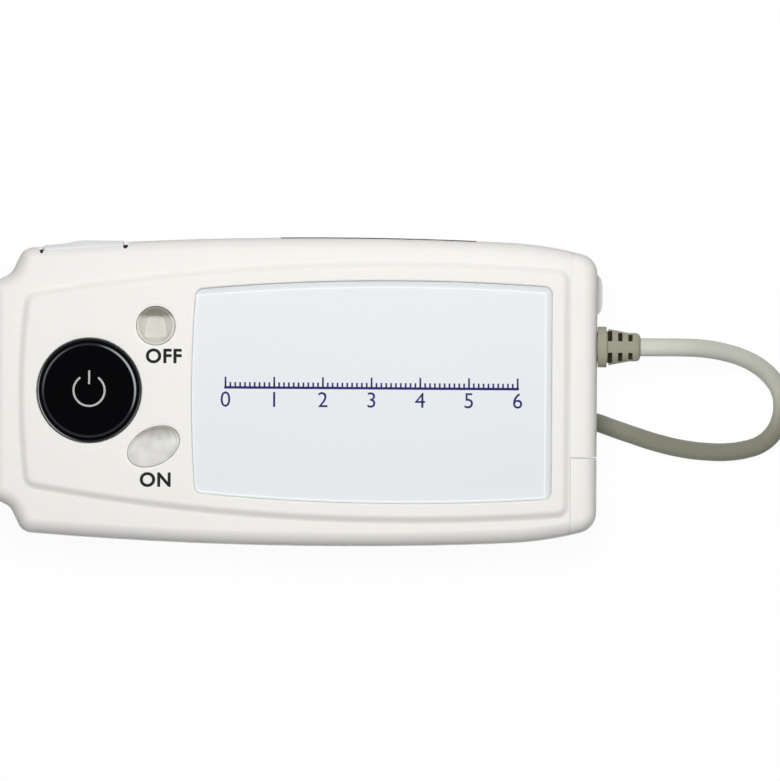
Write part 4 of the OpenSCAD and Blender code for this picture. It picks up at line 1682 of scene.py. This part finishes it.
@dataclass(frozen=True)
class Keys:
    """The round key and the two small keys."""

    MAIN = Key(
        "main_key", "main_key_body", (-41.95, 0.0), 10.76, dish_width=2.0, dish_depth=0.12,
        gap=0.06,
    )
    STOP = Key(
        "stop_key", "stop_key_body", (-28.35, 13.35), 3.96, dish_width=0.5, dish_depth=0.1, gap=0.07
    )
    START = Key(
        "start_key", "start_key_body", (-28.66, -11.47), 5.67, squeeze=3.77 / 5.67,
        turn=math.radians(27.6), dish_width=0.5, dish_depth=0.1, gap=0.07,
    )
    ALL = (MAIN, STOP, START)
    low: float = 18.4
    flange_high: float = 19.2
    main_rise: float = 0.7
    small_rise: float = 0.12
    small_rim: float = 0.3
    roll: float = 0.5
    ring_crown: float = 9.9
    ring_foot: float = 9.05
    ring_rise: float = 0.3
    mark_line: float = 0.4
    mark_radius: float = 3.2
    mark_opening: float = 35.0
    mark_bar: Point2 = (1.3, 4.1)
    floor_top: Point2 = (1.96, 1.55)
    floor_low: Point2 = (-2.3, 2.4)
    floor_depth: float = 1.9

    def main(self) -> bpy.types.Object:
        """The round gloss key, whose flat face lies inside a raised ring.

        Returns:
            The finished piece.
        """
        key = self.MAIN
        top = LEVELS.field + self.main_rise
        profile = [
            (0.0, self.low), (key.radius + key.flange, self.low),
            (key.radius + key.flange, self.flange_high), (key.radius, self.flange_high),
        ]
        reach = key.radius - self.ring_crown
        for k in range(11):
            angle = math.pi / 2 * k / 10
            profile.append(
                (
                    key.radius - reach * (1 - math.cos(angle)),
                    top - self.roll * (1 - math.sin(angle)),
                )
            )
        count = 10
        for k in range(1, count + 1):
            share = k / count
            profile.append(
                (
                    self.ring_crown + (self.ring_foot - self.ring_crown) * share,
                    top - self.ring_rise * smooth_step(share),
                )
            )
        profile.append((0.0, top - self.ring_rise))
        form = Form("main_key_cap")
        form.spun(profile, key.centre, 180)
        piece = form.made()
        smooth(piece, 50)
        return in_place(
            piece, Finishes.KEY_BLACK, "key_black", key.body, key.node
        )

    def floor_reach(self, angle: float) -> float:
        """Distance from the upper key's centre to its bowl's four-sided floor.

        Args:
            angle: The direction in radians.

        Returns:
            The distance.
        """
        (high, high_half), (low, low_half) = self.floor_top, self.floor_low
        across, up = math.cos(angle), math.sin(angle)
        lean = (low_half - high_half) / (high - low)
        middle = high_half + lean * high
        reaches = [middle / max(1e-6, abs(across) + lean * up)]
        if up > 1e-6:
            reaches.append(high / up)
        if up < -1e-6:
            reaches.append(low / up)
        return sum(reach**-8 for reach in reaches) ** (-1 / 8)

    def small_side(self, key: Key) -> list[Point2]:
        """Steps of a small key's side, from its flange up over its rim.

        Args:
            key: Which key.

        Returns:
            (radius, height) pairs, lowest first.
        """
        top, rim, flange = LEVELS.field + self.small_rise, self.small_rim, key.radius + key.flange
        steps = [(flange, self.low), (flange, self.flange_high), (key.radius, self.flange_high)]
        for k in range(9):
            angle = math.pi * k / 8
            steps.append(
                (key.radius - rim * (1 - math.cos(angle)), top - rim * (1 - math.sin(angle)))
            )
        return steps

    def upper(self) -> bpy.types.Object:
        """The upper small key, whose bowl runs down to a four-sided floor.

        Returns:
            The finished piece.
        """
        key, rim, count = self.STOP, self.small_rim, 120
        top = LEVELS.field + self.small_rise
        rings = [[(reach, 0.0, z)] * count for reach, z in self.small_side(key)]
        inner = key.radius - 2 * rim
        for k in range(1, 11):
            share = k / 10
            z = top - rim - (self.floor_depth - rim) * share
            rings.append([(inner, share, z)] * count)
        form = Form("stop_key_cap")
        shaped = []
        for ring in rings:
            places = []
            for i, (reach, share, z) in enumerate(ring):
                angle = 2 * math.pi * i / count
                radius = reach + (self.floor_reach(angle) - reach) * share
                places.append(
                    (
                        key.centre[0] + radius * math.cos(angle),
                        key.centre[1] + radius * math.sin(angle),
                        z,
                    )
                )
            shaped.append(places)
        form.loft(shaped)
        piece = form.made()
        smooth(piece, 28)
        return in_place(piece, Finishes.KEY_PEARL, "key_pearl", key.body, key.node)

    def dished(self, key: Key, name: str, depth: float, finish: Finish) -> bpy.types.Object:
        """A small key with a bowl in its face.

        Args:
            key: Which key.
            name: The piece's name.
            depth: Depth of the bowl.
            finish: Its finish.

        Returns:
            The finished piece.
        """
        top, rim = LEVELS.field + self.small_rise, self.small_rim
        profile = [(0.0, self.low), *self.small_side(key)]
        inner = key.radius - 2 * rim
        count = 16
        for k in range(1, count + 1):
            share = k / count
            sunk = (depth - rim) * math.sin(math.pi / 2 * share) ** 0.9
            profile.append((inner * (1 - share), top - rim - sunk))
        form = Form(name)
        form.spun(profile, key.centre, 96, key.squeeze, key.turn)
        piece = form.made()
        smooth(piece, 60)
        return in_place(piece, finish, "key_pearl", key.body, key.node)

    def mark(self) -> bpy.types.Object:
        """A plain standby mark on the round key: an open ring and a bar.

        Returns:
            The finished piece.
        """
        x, y = self.MAIN.centre
        level = LEVELS.field + self.main_rise - self.ring_rise
        count = 48
        ring = []
        for k in range(count + 1):
            turn = self.mark_opening + (360 - 2 * self.mark_opening) * k / count
            angle = math.radians(turn)
            ring.append(
                (x + self.mark_radius * math.sin(angle), y + self.mark_radius * math.cos(angle))
            )
        bar = [(x, y + reach) for reach in self.mark_bar]
        piece = joined(
            [trace(line, "key_mark_print", self.mark_line, level, 0.02) for line in (ring, bar)]
        )
        return in_place(
            piece, Finishes.SILVER_PRINT, "electrode_metal", self.MAIN.body
        )

    def build(self) -> None:
        """Builds the keys, their print and the words beside them."""
        self.main()
        self.mark()
        self.upper()
        self.dished(self.START, "start_key_cap", 1.2, Finishes.KEY_PALE)
        for text, name, centre in (
            ("OFF", "upper_key_word", (-26.7, 7.0)),
            ("ON", "lower_key_word", (-28.2, -18.4)),
        ):
            word = lettering(text, centre, 2.75, LEVELS.field, 0.045)
            word.name = name
            in_place(word, Finishes.BLACK_PRINT, "dark_plastic", HOUSING_BODY)


def lettering(
    text: str, centre: Point2, height: float, level: float, weight: float
) -> bpy.types.Object:
    """Plain printed characters.

    Args:
        text: The characters.
        centre: Their middle in plan.
        height: Height of a capital.
        level: Height of the surface under them.
        weight: How much heavier than the plain face, as a share of the height.

    Returns:
        The characters as a mesh object, with no material yet.
    """
    curve = bpy.data.curves.new(f"characters_{text}", "FONT")
    curve.body = text
    curve.align_x = "CENTER"
    curve.align_y = "CENTER"
    curve.size = height / 0.69
    curve.offset = weight * height
    curve.space_character = 1.1
    curve.extrude = 0.006
    source = bpy.data.objects.new("characters", curve)
    bpy.context.scene.collection.objects.link(source)
    graph = bpy.context.evaluated_depsgraph_get()
    data = bpy.data.meshes.new_from_object(source.evaluated_get(graph))
    bpy.data.objects.remove(source)
    data.materials.clear()
    data.transform(Matrix.Scale(MM, 4) @ Matrix.Translation((*centre, level + 0.007)))
    piece = bpy.data.objects.new(f"characters_{text}", data)
    bpy.context.scene.collection.objects.link(piece)
    return piece


def trace(
    points: Sequence[Point2], name: str, width: float, height: float, thick: float
) -> bpy.types.Object:
    """A printed line of even width through points.

    Args:
        points: The line's points.
        name: The piece's name.
        width: Width of the line.
        height: Height of the surface under it.
        thick: Thickness of the print.

    Returns:
        The line as a mesh object, with no material yet.
    """
    form = Form(name)
    rows = []
    for i, (x, y) in enumerate(points):
        before = points[max(i - 1, 0)]
        after = points[min(i + 1, len(points) - 1)]
        towards = Vector((x - before[0], y - before[1]))
        away = Vector((after[0] - x, after[1] - y))
        towards = (towards if towards.length else away).normalized()
        away = (away if away.length else towards).normalized()
        bisector = (towards + away).normalized()
        reach = width / 2 / max(0.3, bisector.dot(away))
        side = Vector((-bisector.y, bisector.x)) * reach
        rows.append(
            [
                (x - side.x, y - side.y, height),
                (x + side.x, y + side.y, height),
                (x + side.x, y + side.y, height + thick),
                (x - side.x, y - side.y, height + thick),
            ]
        )
    form.loft(rows)
    bmesh.ops.recalc_face_normals(form.mesh, faces=form.mesh.faces)
    return form.made()


# Electrodes


@dataclass(frozen=True)
class Electrodes:
    """The finger electrode in the upper side, the chest electrode and the palm electrode."""

    finger_x0: float = -51.5
    finger_x1: float = -35.2
    finger_low: float = 7.5
    finger_high: float = 19.6
    finger_thick: float = 0.9
    end_proud: float = 0.3
    swell: float = 0.45
    swell_start: float = 0.2
    swell_end: float = 0.46
    gap: float = 0.15
    fade_z: Point2 = (16.5, 19.7)

    def side_inset(self, height: float) -> float:
        """Inset of the housing's side at a height.

        Args:
            height: The height.

        Returns:
            The inset.
        """
        level = LEVELS
        if height < level.split:
            return level.rear_draft * (level.split - height) / (level.split - level.base_edge)
        start = level.rim - level.top_edge
        if height < start:
            return level.front_draft * (height - level.split) / (start - level.split)
        rise = min(level.top_edge, height - start)
        return level.front_draft + level.top_edge - math.sqrt(level.top_edge**2 - rise**2)

    def fade(self, height: float) -> float:
        """How much of the swell is left at a height, which runs out at the upper edge."""
        start, end = self.fade_z
        return 1.0 - smooth_step(max(0.0, min(1.0, (height - start) / (end - start))))

    def band(
        self, name: str, low: Point2, high: Point2, proud: Callable[[float], float],
        thick: float,
    ) -> bpy.types.Object:
        """A band that follows the bowed side and the edge above it.

        Args:
            name: The object's name.
            low: Its lowest place along the length, and its lower height.
            high: Its highest place along the length, and its upper height.
            proud: How far it stands out at a share of its length.
            thick: Its thickness.

        Returns:
            The band.
        """
        plan = HOUSING
        heights = [low[1] + (high[1] - low[1]) * k / 36 for k in range(37)]
        rows = []
        count = 44
        for k in range(count + 1):
            out = proud(k / count)
            x = low[0] + (high[0] - low[0]) * k / count
            angle = math.asin((x - plan.bow_x) / plan.bow_radius)
            profile = [(z, self.side_inset(z) - out * self.fade(z)) for z in heights]
            profile += [(z, self.side_inset(z) - self.end_proud + thick) for z in reversed(heights)]
            rows.append(
                [
                    (
                        plan.bow_x + (plan.bow_radius - inset) * math.sin(angle),
                        plan.bow_y + (plan.bow_radius - inset) * math.cos(angle),
                        z,
                    )
                    for z, inset in profile
                ]
            )
        form = Form(name)
        form.loft(rows)
        bmesh.ops.recalc_face_normals(form.mesh, faces=form.mesh.faces)
        return form.made()

    def finger_seat(self) -> bpy.types.Object:
        """The tool that cuts the finger electrode's seat."""
        return self.band(
            "tool",
            (self.finger_x0 - self.gap, self.finger_low - self.gap),
            (self.finger_x1 + self.gap, self.finger_high + 0.02),
            lambda share: 1.25,
            self.finger_thick + 2 * self.gap,
        )

    def finger(self) -> bpy.types.Object:
        """The finger electrode, which swells towards its middle.

        Returns:
            The finished piece.
        """

        def proud(share: float) -> float:
            """How far it stands out at a share of its length."""
            rise = (share - self.swell_start) / (self.swell_end - self.swell_start)
            fall = (1.0 - share) / (1.0 - self.swell_end)
            up = smooth_step(max(0.0, min(1.0, rise)))
            down = smooth_step(max(0.0, min(1.0, fall)))
            return self.end_proud + self.swell * up * down

        piece = self.band(
            "finger_electrode_plate", (self.finger_x0, self.finger_low),
            (self.finger_x1, self.finger_high), proud, self.finger_thick,
        )
        eased(piece, 0.12, 3, 50)
        smooth(piece, 40)
        return in_place(
            piece, Finishes.ELECTRODE, "electrode_metal", HOUSING_BODY,
            "finger_electrode",
        )

    def build(self) -> None:
        """Builds the three electrodes."""
        self.finger()
        for node in ("chest_electrode", "palm_electrode"):
            piece = merged_copy(node, f"{node}_plate")
            eased(piece, 0.25, 3)
            smooth(piece, 35)
            in_place(piece, Finishes.ELECTRODE, "electrode_metal", HOUSING_BODY, node)


# Lead


@dataclass(frozen=True)
class Lead:
    """The captive lead, the boot that it leaves and the plug that is stowed in the back."""

    route: tuple[Point3, ...] = (
        (71.3, 9.6, 14.5), (75, 9.6, 14.5), (79.6, 9.6, 13.4), (84.4, 9.4, 10.9),
        (89.2, 8.6, 7.8), (93, 7.4, 5.4), (96.3, 5.6, 3.5), (98.9, 3.2, 2.3),
        (100.4, 0.7, 1.9), (100.9, -2, 1.9), (100.6, -4.8, 1.9), (99.3, -7.7, 1.9),
        (96.6, -10.2, 1.9), (93.2, -11.4, 1.9), (89.6, -11.9, 1.9), (86, -11.9, 1.9),
        (81, -11.4, 1.9), (75.1, -10.1, 1.9), (69.4, -8.3, 1.9), (65.6, -7, 2.1),
        (62.4, -5.9, 2.8), (60, -5.3, 3.6), (57.8, -5, 4.2), (55.5, -5, 4.3),
    )
    diameter: float = 3.7
    length: float = 90.1
    edge: float = 0.22
    boot_edge: float = 0.06
    boot_spot: Point3 = (65.05, 9.6, 14.5)
    pocket_pitch: float = 2.1
    pocket_reach: Point3 = (3.3, 3.0, 2.6)

    def jacket(self) -> bpy.types.Object:
        """The lead's jacket along its route.

        Returns:
            The lead.
        """
        curve = bpy.data.curves.new("lead_jacket", "CURVE")
        curve.dimensions = "3D"
        curve.resolution_u = 10
        curve.bevel_depth = self.diameter / 2 * MM
        curve.bevel_resolution = 6
        curve.use_fill_caps = True
        spline = curve.splines.new("BEZIER")
        spline.bezier_points.add(len(self.route) - 1)
        for point, place in zip(spline.bezier_points, self.route):
            point.co = Vector(place) * MM
            point.handle_left_type = "AUTO"
            point.handle_right_type = "AUTO"
        lead = bpy.data.objects.new("lead_jacket", curve)
        bpy.context.scene.collection.objects.link(lead)
        return in_place(lead, Finishes.CORD, "cord_grey", HOUSING_BODY, "cord_run")

    def softened(self, node: str, finish: Finish, slot: str, edge: float) -> bpy.types.Object:
        """A softened copy of a moulded piece on the lead.

        Args:
            node: The CAD node.
            finish: Its finish.
            slot: Its material slot.
            edge: Rounding of its edges.

        Returns:
            The finished piece.
        """
        piece = merged_copy(node, f"{node}_moulding")
        if edge:
            eased(piece, edge, 2)
        smooth(piece, 35)
        return in_place(piece, finish, slot, HOUSING_BODY, node)

    def pocket_floors(self) -> bpy.types.Object:
        """Painted shade in the boot's pockets: dark plates where the pockets' floors lie in shade.
        """
        x, y, z = self.boot_spot
        form = Form("boot_pocket_floors")
        for i, reach in enumerate(self.pocket_reach):
            middle = x + self.pocket_pitch * i
            for side in (1, -1):
                for low, high in ((z + 0.5, z + 1.1), (z - 1.1, z - 0.5)):
                    near, far = sorted((y + side * 1.1, y + side * reach))
                    form.box((middle - 0.48, near, low), (middle + 0.48, far, high))
        piece = form.made()
        smooth(piece, 30)
        return in_place(piece, Finishes.POCKET, "boot_grey", HOUSING_BODY)

    def build(self) -> None:
        """Builds the lead with the pieces on it."""
        jacket = self.jacket()
        boot = self.softened("cable_boot", Finishes.BOOT, "boot_grey", self.boot_edge)
        # Painted shade in the boot's pockets.
        pocket_shade = self.pocket_floors()
        grip = self.softened("plug_grip", Finishes.BOOT, "boot_grey", self.edge)


# Stage


@dataclass(frozen=True)
class Stage:
    """Camera, lamps, floor and world."""

    image_width: int = 780
    image_height: int = 781
    mm_per_pixel: float = 0.2061
    zero_pixel_x: float = 293.75
    axis_pixel_y: float = 390.0
    axis_start_x: float = 36.0
    axis_drop: float = 3.5 / 544
    camera_height: float = 3.0
    sensor: float = 36.0
    sky: float = 0.14
    key_watts: float = 1.62
    paper: float = 0.65
    shadow_share: float = 0.08
    floor_glow: float = 0.93
    lobe_width: float = 0.35
    side_gloss: float = 14.0
    upper_gloss: float = 0.6
    low_gloss: float = 0.3
    lamp_spot: Point3 = (0.018, 0.09, 0.42)
    lamp_size: float = 0.18

    def camera(self) -> None:
        """A long lens straight above, turned a little as in the photograph."""
        middle_x = self.image_width / 2
        axis_y = self.axis_pixel_y + (middle_x - self.axis_start_x) * self.axis_drop
        x = (middle_x - self.zero_pixel_x) * self.mm_per_pixel
        y = (axis_y - self.image_height / 2) * self.mm_per_pixel
        data = bpy.data.cameras.new("camera")
        data.sensor_fit = "HORIZONTAL"
        data.sensor_width = self.sensor
        data.lens = self.sensor * self.camera_height / (
            self.image_width * self.mm_per_pixel * MM
        )
        data.clip_end = 20.0
        camera = bpy.data.objects.new("camera", data)
        camera.location = (x * MM, y * MM, self.camera_height + LEVELS.split * MM)
        camera.rotation_euler = (0.0, 0.0, math.atan(self.axis_drop))
        bpy.context.scene.collection.objects.link(camera)
        bpy.context.scene.camera = camera

    def lamp(self, name: str, place: Point3, size: float, watts: float) -> None:
        """A soft square lamp aimed at the monitor.

        Args:
            name: The lamp's name.
            place: Where it stands, in metres.
            size: Its side, in metres.
            watts: Its power.
        """
        data = bpy.data.lights.new(name, "AREA")
        data.shape = "SQUARE"
        data.size = size
        data.energy = watts
        lamp = bpy.data.objects.new(name, data)
        lamp.location = place
        aim = Vector((0.01, 0.0, 0.01)) - Vector(place)
        lamp.rotation_euler = aim.to_track_quat("-Z", "Y").to_euler()
        lamp.visible_glossy = False
        bpy.context.scene.collection.objects.link(lamp)

    def floor(self) -> None:
        """A wide white floor that keeps a faint shadow."""
        form = Form("floor")
        form.prism([(-6000, -6000), (6000, -6000), (6000, 6000), (-6000, 6000)], -20.0, 0.0)
        floor = form.made()
        material = bpy.data.materials.new("white paper floor")
        material.use_nodes = True
        kit = NodeKit(material.node_tree)
        kit.tree.nodes.clear()
        dim = self.paper * self.shadow_share
        paper, seen_paper = (
            kit.feed(kit.add("ShaderNodeBsdfDiffuse"), Color=(grey, grey, grey, 1.0))
            for grey in (self.paper, dim)
        )
        glow = kit.add("ShaderNodeEmission")
        kit.feed(glow, Color=WHITE, Strength=1.0 - dim * self.floor_glow)
        both = kit.add("ShaderNodeAddShader")
        kit.fill(both, (seen_paper.outputs[0], glow.outputs[0]))
        path = kit.add("ShaderNodeLightPath")
        seen = path.outputs["Is Camera Ray"]
        for kind in ("Is Transmission Ray", "Is Glossy Ray"):
            seen = kit.math("MAXIMUM", seen, path.outputs[kind])
        mixed = kit.choose(seen, paper, both)
        kit.feed(kit.add("ShaderNodeOutputMaterial"), Surface=mixed.outputs[0])
        floor.data.materials.append(material)

    def lobe(
        self, kit: NodeKit, ray: bpy.types.NodeSocket, degrees: float, start: float
    ) -> bpy.types.NodeSocket:
        """How far a ray leans towards one side of the studio.

        Args:
            kit: The world's node kit.
            ray: The ray's direction.
            degrees: Where that side lies.
            start: The lean at which it begins.

        Returns:
            A value from 0 to 1.
        """
        side = kit.add("ShaderNodeVectorMath", operation="DOT_PRODUCT")
        kit.join(ray, side.inputs[0])
        angle = math.radians(degrees)
        side.inputs[1].default_value = (math.cos(angle), math.sin(angle), 0.0)
        return kit.ramp(side.outputs["Value"], start, min(1.0, start + self.lobe_width))

    def world(self) -> None:
        """A plain white studio whose ceiling and far sides look dim in gloss."""
        world = bpy.data.worlds.new("studio")
        bpy.context.scene.world = world
        world.use_nodes = True
        kit = NodeKit(world.node_tree)
        kit.tree.nodes.clear()
        ray = kit.add("ShaderNodeTexCoord").outputs["Generated"]
        split = kit.add("ShaderNodeSeparateXYZ")
        kit.join(ray, split.inputs[0])
        ceiling = kit.ramp(split.outputs["Z"], 0.5, 0.95, high=0.005, low=0.55)
        sides = kit.math(
            "MAXIMUM", self.lobe(kit, ray, 205.0, 0.45),
            kit.math("MULTIPLY", self.lobe(kit, ray, 330.0, 0.55), 0.35),
        )
        horizon = kit.ramp(split.outputs["Z"], 0.3, 0.5)
        sides = kit.math("MULTIPLY_ADD", sides, self.side_gloss, self.upper_gloss)
        sides = kit.math("MULTIPLY_ADD", sides, horizon, self.low_gloss)
        soft, seen, mirror = (
            kit.feed(kit.add("ShaderNodeBackground"), Color=(*colour, 1.0), Strength=strength)
            for colour, strength in (
                ((1.0, 0.995, 0.985), self.sky),
                ((1.0, 1.0, 1.0), 1.0),
                ((0.9, 0.96, 1.0), kit.math("MULTIPLY", sides, ceiling)),
            )
        )
        path = kit.add("ShaderNodeLightPath")
        first = kit.choose(path.outputs["Is Glossy Ray"], soft, mirror)
        last = kit.choose(path.outputs["Is Camera Ray"], first, seen)
        kit.feed(kit.add("ShaderNodeOutputWorld"), Surface=last.outputs[0])

    def build(self) -> None:
        """Builds the whole stage."""
        self.camera()
        self.floor()
        self.world()
        self.lamp("ceiling lamp", self.lamp_spot, self.lamp_size, self.key_watts)
        bpy.context.scene.view_settings.view_transform = "Standard"


@dataclass(frozen=True)
class Works:
    """The pieces inside the housing, which keep their solids and get their finishes."""

    finishes: tuple[tuple[str, Finish], ...] = (
        ("strap_bar", Finishes.STRAP), ("lens_tape", Finishes.TAPE),
        ("display_panel", Finishes.PANEL), ("display_light", Finishes.IVORY),
        ("display_frame", Finishes.FRAME_PLASTIC), ("tact_switches", Finishes.DARK),
        ("main_board", Finishes.BOARD), ("main_chip", Finishes.DARK),
        ("shield_can", Finishes.STEEL), ("buzzer", Finishes.DARK),
        ("cable_header", Finishes.IVORY), ("cable_core", Finishes.CORD),
        ("lead_socket", Finishes.DARK), ("electrode_contacts", Finishes.GOLD),
        ("battery_left", Finishes.CELL), ("battery_right", Finishes.CELL),
        ("battery_contacts", Finishes.STEEL), ("board_screws", Finishes.STEEL),
        ("plug_shell", Finishes.STEEL), ("plug_tongue", Finishes.IVORY),
    )

    def build(self) -> None:
        """Gives each solid its finish."""
        nodes = frame_nodes()
        for node, finish in self.finishes:
            data = nodes[node].data
            data.materials.clear()
            data.materials.append(finish.made())
            LOG.info("%s is finished in %s", node, finish.name)


def main() -> None:
    """Builds every sub-assembly in order."""
    logging.basicConfig(level=logging.INFO)
    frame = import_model()
    FRAME.update(frame)
    Stage().build()
    Lead().build()
    FrontShell().build()
    OtherShells().build()
    BatteryDoor().build()
    CaseScrews().build()
    Window().build()
    Keys().build()
    Electrodes().build()
    Works().build()


if __name__ == "__main__":
    main()
